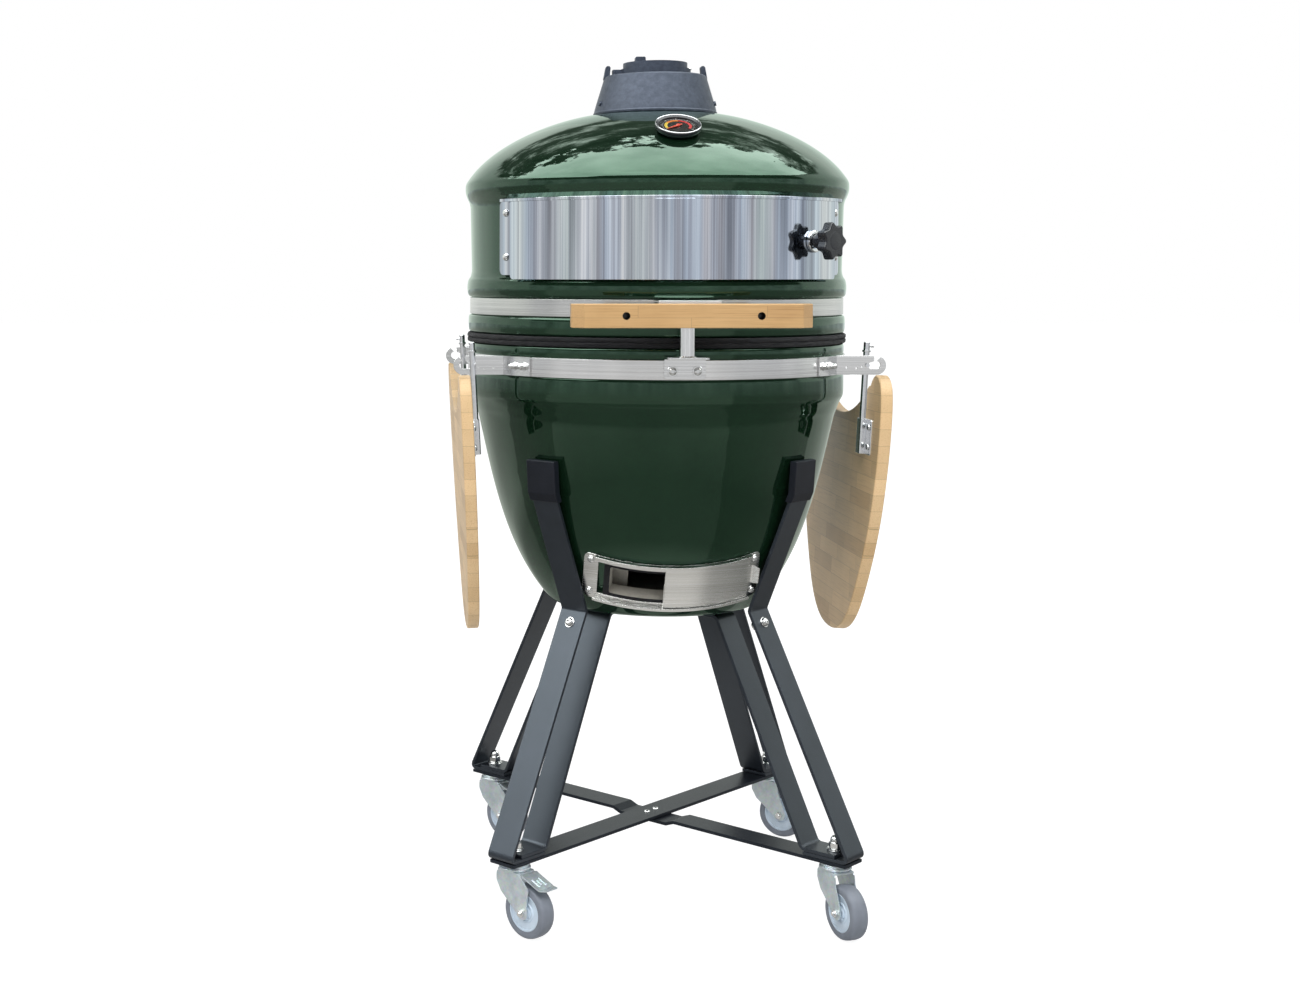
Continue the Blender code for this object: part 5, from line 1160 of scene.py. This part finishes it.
# ================================================================== casters
def caster(tag):
    cx = CASTER_X * (1 if tag[1] == "R" else -1)
    cy = CASTER_X * (1 if tag[0] == "R" else -1)
    base = Matrix.Translation((cx, cy, 0)) @ Matrix.Rotation(radians(CASTER_DEG[tag]), 4, "Z")
    ax, az = 0.028, WHEEL_R
    brake = tag[1] == "L"
    nose = [(0.0400, 0.0720), (0.0240, 0.0885)] if brake else [(0.0250, 0.0740), (0.0230, 0.0885)]
    leg = ([(-0.0200, 0.0885), (-0.0200, 0.0740), (-0.0120, 0.0600)] + arc(ax, az, 0.0095, radians(200), radians(360), 16) + [(0.0360, 0.0460)] + nose)
    bits = []
    for s in (1, -1):
        o = prism("fl", [soft(leg, 0.006, 5)], 0.0010, M_ZINC, base @ basis((0, s * 0.0156, 0), (1, 0, 0), (0, 0, 1)), 0.0005, 2)
        bits.append(o)
        mm = base @ along((ax, s * 0.0166, az), (0, s, 0))
        bits += [hexagon(mm, 0.0100, 0.0, 0.0038, M_NUT), turn("ab", [(0.0, 0.0068), (0.0026, 0.0068), (0.0030, 0.0062), (0.0030, 0.003), (0.0, 0.003)], M_NUT, 24, mm, closed=False)]
    bits.append(prism("ft", [rounded_rect(-0.0200, -0.0166, 0.0236, 0.0166, 0.005)], 0.0011, M_ZINC, base @ Matrix.Translation((0, 0, 0.0892)), 0.0006, 2))
    bits.append(turn("fh", [(0.0, 0.0996)] + soft([(0.0170, 0.0996), (0.0206, 0.0990), (0.0212, 0.0972), (0.0196, 0.0958), (0.0196, 0.0950), (0.0222, 0.0944), (0.0226, 0.0926),
                                                  (0.0216, 0.0910), (0.0190, 0.0900)], 0.0008, 3, closed=False) + [(0.0, 0.0899)], M_ZINC, 64, base, closed=False))
    bits.append(cyl("fx", 0.0040, -0.0152, 0.0152, M_NUT, base @ basis((ax, 0, az), (0, 0, 1), (1, 0, 0)), 24))
    give(merge("caster_fork_zinc_" + tag, bits), "fork_" + tag, "zinc_plate", "caster_fork_" + tag)
    h = 0.0125
    wm = base @ basis((ax, 0, az), (0, 0, 1), (1, 0, 0))
    tyre = catmull([(0.0268, h - 0.0002), (0.0310, h), (0.0345, h - 0.0008), (0.0366, h - 0.0034), (WHEEL_R, h - 0.0080), (WHEEL_R, 0.0), (WHEEL_R, -h + 0.0080),
                    (0.0366, -h + 0.0034), (0.0345, -h + 0.0008), (0.0310, -h), (0.0268, -h + 0.0002)], 3)
    ty = turn("ty", tyre, M_TYRE, 96, wm)
    half = [(0.0262, h - 0.0006), (0.0256, h - 0.0004), (0.0244, h - 0.0008), (0.0238, h - 0.0026), (0.0150, h - 0.0034), (0.0142, h - 0.0022), (0.0128, h - 0.0020),
            (0.0120, h - 0.0034), (0.0092, h - 0.0036), (0.0084, h - 0.0012), (0.0072, h - 0.0006), (0.0046, h - 0.0006)]
    hubp = [(0.0268, h - 0.0010)] + half
    hubp = hubp + [(r, -z) for r, z in hubp[::-1]]
    hu = turn("hu", hubp[::-1], M_HUB, 72, wm)
    give(merge("caster_wheel_fine_" + tag, [ty, hu]), "wheel_" + tag, "grey_tyre", "caster_wheel_" + tag)
    if brake:
        path = soft([(0.0262, 0.0890), (0.0300, 0.0870), (0.0590, 0.0755), (0.0700, 0.0768)], 0.004, 6, closed=False)
        ped = prism("pe", [strip(path, 0.0018)], 0.0160, M_ZINC, base @ basis((0, 0, 0), (1, 0, 0), (0, 0, 1)), 0.0005, 2)
        shape = prism("ps", [soft([(0.020, -0.017), (0.048, -0.017), (0.0600, -0.0150), (0.0708, -0.0110), (0.0708, 0.0110), (0.0600, 0.0150), (0.048, 0.017), (0.020, 0.017)], 0.005, 4)],
                      0.05, M_ZINC, base @ Matrix.Translation((0, 0, 0.08)))
        ped = cut(ped, shape, op="INTERSECT")
        bits = [ped]
        sl = atan2(0.0755 - 0.0870, 0.0290)
        for dy in (-0.0065, 0.0, 0.0065):
            mm = base @ Matrix.Translation((0.0462, dy, 0.0818)) @ Matrix.Rotation(-sl, 4, "Y")
            bits.append(brick("pd", (-0.0080 if dy else -0.0050, -0.0014, -0.0010), (0.0080 if dy else 0.0050, 0.0014, 0.0012), M_ZINC, mm, 0.0006, 2))
        give(merge("brake_pedal_zinc_" + tag, bits, M_ZINC), "pedal_" + tag, "zinc_plate", "brake_pedal_" + tag)


for tag in ("FL", "FR", "RL", "RR"):
    caster(tag)


# ==================================================================== stage
COLUMNS = [(0.36, (0.36, 0.37, 0.38)), (0.46, (0.60, 0.62, 0.65)), (0.54, (0.82, 0.84, 0.87)), (0.62, (0.98, 0.98, 0.98))]
fl = bpy.data.meshes.new("studio_floor")
fl.from_pydata([(-30, -30, -0.0004), (30, -30, -0.0004), (30, 30, -0.0004), (-30, 30, -0.0004)], [], [(0, 1, 2, 3)])
floor = new("studio_floor", fl)
fm = Mat("floor_pale", Roughness=0.8)
fm.set("Base Color", (0.80, 0.80, 0.80))
lp = fm.node("ShaderNodeLightPath")
white = fm.node("ShaderNodeEmission", {"Color": (1.0, 1.0, 1.0), "Strength": 0.90})
both = fm.node("ShaderNodeAddShader")
dim = fm.node("ShaderNodeBsdfDiffuse", {"Color": (0.30, 0.30, 0.30)})
fm.t.links.new(white.outputs[0], both.inputs[0])
fm.t.links.new(dim.outputs[0], both.inputs[1])
# a paved ground as the polished parts see it
gco = fm.node("ShaderNodeSeparateXYZ", {0: fm.co})
gaz = fm.math("ARCTAN2", gco.outputs[0], fm.math("MULTIPLY", gco.outputs[1], -1.0))
gn = fm.noise(fm.co, 1.3, 4.0, 0.6)
gaz = fm.math("ADD", gaz, fm.math("MULTIPLY", fm.math("SUBTRACT", gn, 0.5), 0.25))
side = fm.math("MAXIMUM", fm.math("MULTIPLY", fm.math("GREATER_THAN", gaz, 0.66), fm.math("LESS_THAN", gaz, 1.9)),
               fm.math("MULTIPLY", fm.math("LESS_THAN", gaz, -1.30), fm.math("GREATER_THAN", gaz, -2.0)))
slab = fm.ramp(fm.noise(fm.co, 0.7, 5.0, 0.6), [(0.3, (0.50, 0.49, 0.47)), (0.7, (0.66, 0.65, 0.62))])
near = fm.mix(fm.math("MULTIPLY", side, 0.55), slab, (0.08, 0.085, 0.08))
# far off, the same light and dark columns as the horizon
fco = fm.node("ShaderNodeCombineXYZ", {0: fm.node("ShaderNodeMath", {0: gco.outputs[0], 1: fm.math("MULTIPLY", gco.outputs[1], -1.0)}, operation="ARCTAN2").outputs[0], 1: 0.0, 2: 0.0})
fcol = fm.ramp(fm.noise(fco.outputs[0], 4.2, 6.0, 0.75), COLUMNS)
dist = fm.math("SQRT", fm.math("ADD", fm.math("MULTIPLY", gco.outputs[0], gco.outputs[0]), fm.math("MULTIPLY", gco.outputs[1], gco.outputs[1])))
far = fm.node("ShaderNodeMapRange", {"Value": dist, "From Min": 7.0, "From Max": 20.0}, clamp=True).outputs[0]
ring_in = fm.node("ShaderNodeMapRange", {"Value": dist, "From Min": 0.58, "From Max": 0.72}, clamp=True).outputs[0]
ring_out = fm.node("ShaderNodeMapRange", {"Value": dist, "From Min": 1.25, "From Max": 1.70}, clamp=True).outputs[0]
shade = fm.math("MULTIPLY", fm.math("MULTIPLY", ring_in, fm.math("SUBTRACT", 1.0, ring_out)), 0.60)
near = fm.mix(shade, near, (0.10, 0.11, 0.10))
seen = fm.node("ShaderNodeEmission", {"Color": fm.mix(far, near, fcol), "Strength": 1.0})
m1 = fm.node("ShaderNodeMixShader", {0: lp.outputs["Is Glossy Ray"]})
fm.t.links.new(fm.b.outputs[0], m1.inputs[1])
fm.t.links.new(seen.outputs[0], m1.inputs[2])
m2 = fm.node("ShaderNodeMixShader", {0: lp.outputs["Is Camera Ray"]})
fm.t.links.new(m1.outputs[0], m2.inputs[1])
fm.t.links.new(both.outputs[0], m2.inputs[2])
fm.t.links.new(m2.outputs[0], fm.t.nodes["Material Output"].inputs[0])
fm.m.cycles.emission_sampling = "NONE"
fl.materials.append(fm.m)

world = bpy.data.worlds.new("studio")
bpy.context.scene.world = world
world.use_nodes = True
nt = world.node_tree
nt.nodes.clear()


def wn(kind, ins=None, **attrs):
    n = nt.nodes.new(kind)
    for k, v in attrs.items():
        setattr(n, k, v)
    for k, v in (ins or {}).items():
        s = n.inputs[k]
        if hasattr(v, "is_linked"):
            nt.links.new(v, s)
        elif isinstance(v, tuple) and len(v) == 3 and s.type == "RGBA":
            s.default_value = (*v, 1.0)
        else:
            s.default_value = v
    return n


def wm(op, a, b=0.0, c=0.0):
    return wn("ShaderNodeMath", {0: a, 1: b, 2: c}, operation=op).outputs[0]


def wmix(f, a, b):
    return wn("ShaderNodeMix", {0: f, 6: a, 7: b}, data_type="RGBA").outputs[2]


def step(v, edge, soft_by):
    """0 below the edge, 1 above it."""
    return wn("ShaderNodeMapRange", {"Value": v, "From Min": edge - soft_by, "From Max": edge + soft_by}, clamp=True).outputs[0]


d = wn("ShaderNodeSeparateXYZ", {0: wn("ShaderNodeTexCoord").outputs["Generated"]}).outputs
dx, dy, dz = d[0], d[1], d[2]
az = wm("ARCTAN2", dx, wm("MULTIPLY", dy, -1.0))


def wnoise(vec, scale, detail, rough):
    return wn("ShaderNodeTexNoise", {"Vector": vec, "Scale": scale, "Detail": detail, "Roughness": rough}).outputs["Fac"]


def vec(x, y, z):
    return wn("ShaderNodeCombineXYZ", {0: x, 1: y, 2: z}).outputs[0]


leaf = wnoise(vec(dx, dy, dz), 5.0, 8.0, 0.72)
leafd = wm("SUBTRACT", leaf, 0.5)
# columns of light and dark round the horizon, seen upright in the polished door
col = wnoise(vec(wm("MULTIPLY", az, 1.0), 0.0, wm("MULTIPLY", dz, 0.5)), 4.2, 6.0, 0.75)


def wramp(f, stops):
    n = wn("ShaderNodeValToRGB", {"Fac": f})
    r = n.color_ramp
    while len(r.elements) < len(stops):
        r.elements.new(0.5)
    for e, (p, c) in zip(r.elements, stops):
        e.position = p
        e.color = (*c, 1.0) if isinstance(c, tuple) else (c, c, c, 1.0)
    return n.outputs["Color"]


cols = wramp(col, COLUMNS)
wall = wramp(wnoise(vec(wm("MULTIPLY", az, 2.5), 0.0, wm("MULTIPLY", dz, 3.0)), 3.0, 5.0, 0.6), [(0.38, (0.03, 0.035, 0.03)), (0.60, (0.12, 0.13, 0.12))])
front = wmix(step(wm("ADD", dz, wm("MULTIPLY", leafd, 0.05)), 0.17, 0.015), cols, wall)
rear_low = wramp(wnoise(vec(az, 0.0, dz), 2.5, 4.0, 0.6), [(0.35, (0.80, 0.86, 0.82)), (0.65, (1.02, 1.04, 1.00))])
trees = wramp(wnoise(vec(wm("MULTIPLY", dx, 3.0), wm("MULTIPLY", dy, 3.0), wm("MULTIPLY", dz, 7.0)), 1.3, 7.0, 0.7), [(0.36, (0.05, 0.06, 0.05)), (0.52, (0.14, 0.16, 0.14)), (0.60, (0.9, 0.95, 0.9)), (0.68, (2.4, 2.4, 2.4))])
rear = wmix(step(wm("ADD", dz, wm("MULTIPLY", leafd, 0.25)), 0.52, 0.02), rear_low, trees)
side_mix = step(wm("ADD", dy, wm("MULTIPLY", leafd, 0.10)), -0.02, 0.03)
low = wmix(side_mix, front, rear)
left = step(wm("MULTIPLY", dx, -1.0), 0.62, 0.08)
sky_on = wm("MULTIPLY", step(wm("ADD", wm("ADD", dz, wm("MULTIPLY", left, 0.14)), wm("MULTIPLY", leafd, 0.10)), 0.56, 0.008),
            wm("SUBTRACT", 1.0, step(wm("ADD", dy, wm("MULTIPLY", leafd, 1.10)), 0.37, 0.012)))
clouds = wramp(wnoise(vec(dx, dy, dz), 2.2, 4.0, 0.55), [(0.30, (0.55, 0.60, 0.58)), (0.70, (1.0, 1.0, 1.0))])
env_a = wn("ShaderNodeBackground", {0: low, 1: 1.0})
env_b = wn("ShaderNodeBackground", {0: clouds, 1: 6.2})
env = wn("ShaderNodeMixShader", {0: sky_on})
nt.links.new(env_a.outputs[0], env.inputs[1])
nt.links.new(env_b.outputs[0], env.inputs[2])
soft_sky = wn("ShaderNodeBackground", {0: wmix(step(dz, 0.05, 0.6), (0.62, 0.63, 0.64), (0.95, 0.97, 1.0)), 1: 0.62})
plain = wn("ShaderNodeBackground", {0: (1.0, 1.0, 1.0), 1: 1.0})
path = wn("ShaderNodeLightPath")
w1 = wn("ShaderNodeMixShader", {0: path.outputs["Is Glossy Ray"]})
nt.links.new(soft_sky.outputs[0], w1.inputs[1])
nt.links.new(env.outputs[0], w1.inputs[2])
w2 = wn("ShaderNodeMixShader", {0: path.outputs["Is Camera Ray"]})
nt.links.new(w1.outputs[0], w2.inputs[1])
nt.links.new(plain.outputs[0], w2.inputs[2])
out = wn("ShaderNodeOutputWorld")
nt.links.new(w2.outputs[0], out.inputs[0])


def area(name, loc, target, sx, sy, power, color=(1, 1, 1)):
    l = bpy.data.lights.new(name, "AREA")
    l.shape = "RECTANGLE"
    l.size, l.size_y = sx, sy
    l.energy = power
    l.color = color
    o = bpy.data.objects.new(name, l)
    bpy.context.scene.collection.objects.link(o)
    o.location = loc
    o.rotation_mode = "QUATERNION"
    o.rotation_quaternion = (Vector(target) - Vector(loc)).to_track_quat("-Z", "Y")
    o.visible_camera = False
    o.visible_glossy = False
    return o


area("key_overhead", (-0.5, -2.8, 3.6), (0, 0, 0.8), 4.0, 2.4, 95)
area("rear_top", (0.0, 3.4, 3.6), (0, 0, 0.8), 3.4, 1.4, 40)

# camera at the viewing angle of the object's front
CAM = Vector((-0.410, -2.7205, 0.9234))
cam_data = bpy.data.cameras.new("camera")
cam = bpy.data.objects.new("camera", cam_data)
bpy.context.scene.collection.objects.link(cam)
cam.location = CAM
cam.rotation_mode = "QUATERNION"
cam.rotation_quaternion = Vector((0, cos(radians(1.95)), -sin(radians(1.95)))).to_track_quat("-Z", "Y")
cam_data.sensor_width = 36.0
cam_data.lens = 36.0 * 1801.6 / 1300
cam_data.clip_end = 100
# the frame is off the lens axis at the front view only, so the shift goes when the camera moves
for channel, value in (("shift_x", (650 - 382.4) / 1300), ("shift_y", (334.1 - 500) / 1300)):
    drv = cam_data.driver_add(channel).driver
    drv.type = "SCRIPTED"
    for var, ch in (("px", "LOC_X"), ("py", "LOC_Y")):
        v = drv.variables.new()
        v.name = var
        v.type = "TRANSFORMS"
        v.targets[0].id = cam
        v.targets[0].transform_type = ch
        v.targets[0].transform_space = "WORLD_SPACE"
    drv.expression = "%.5f if abs(px - (%.5f)) + abs(py - (%.5f)) < 0.002 else 0.0" % (value, CAM.x, CAM.y)
bpy.context.scene.camera = cam
bpy.context.scene.view_settings.view_transform = "Standard"
bpy.context.scene.view_settings.look = "None"
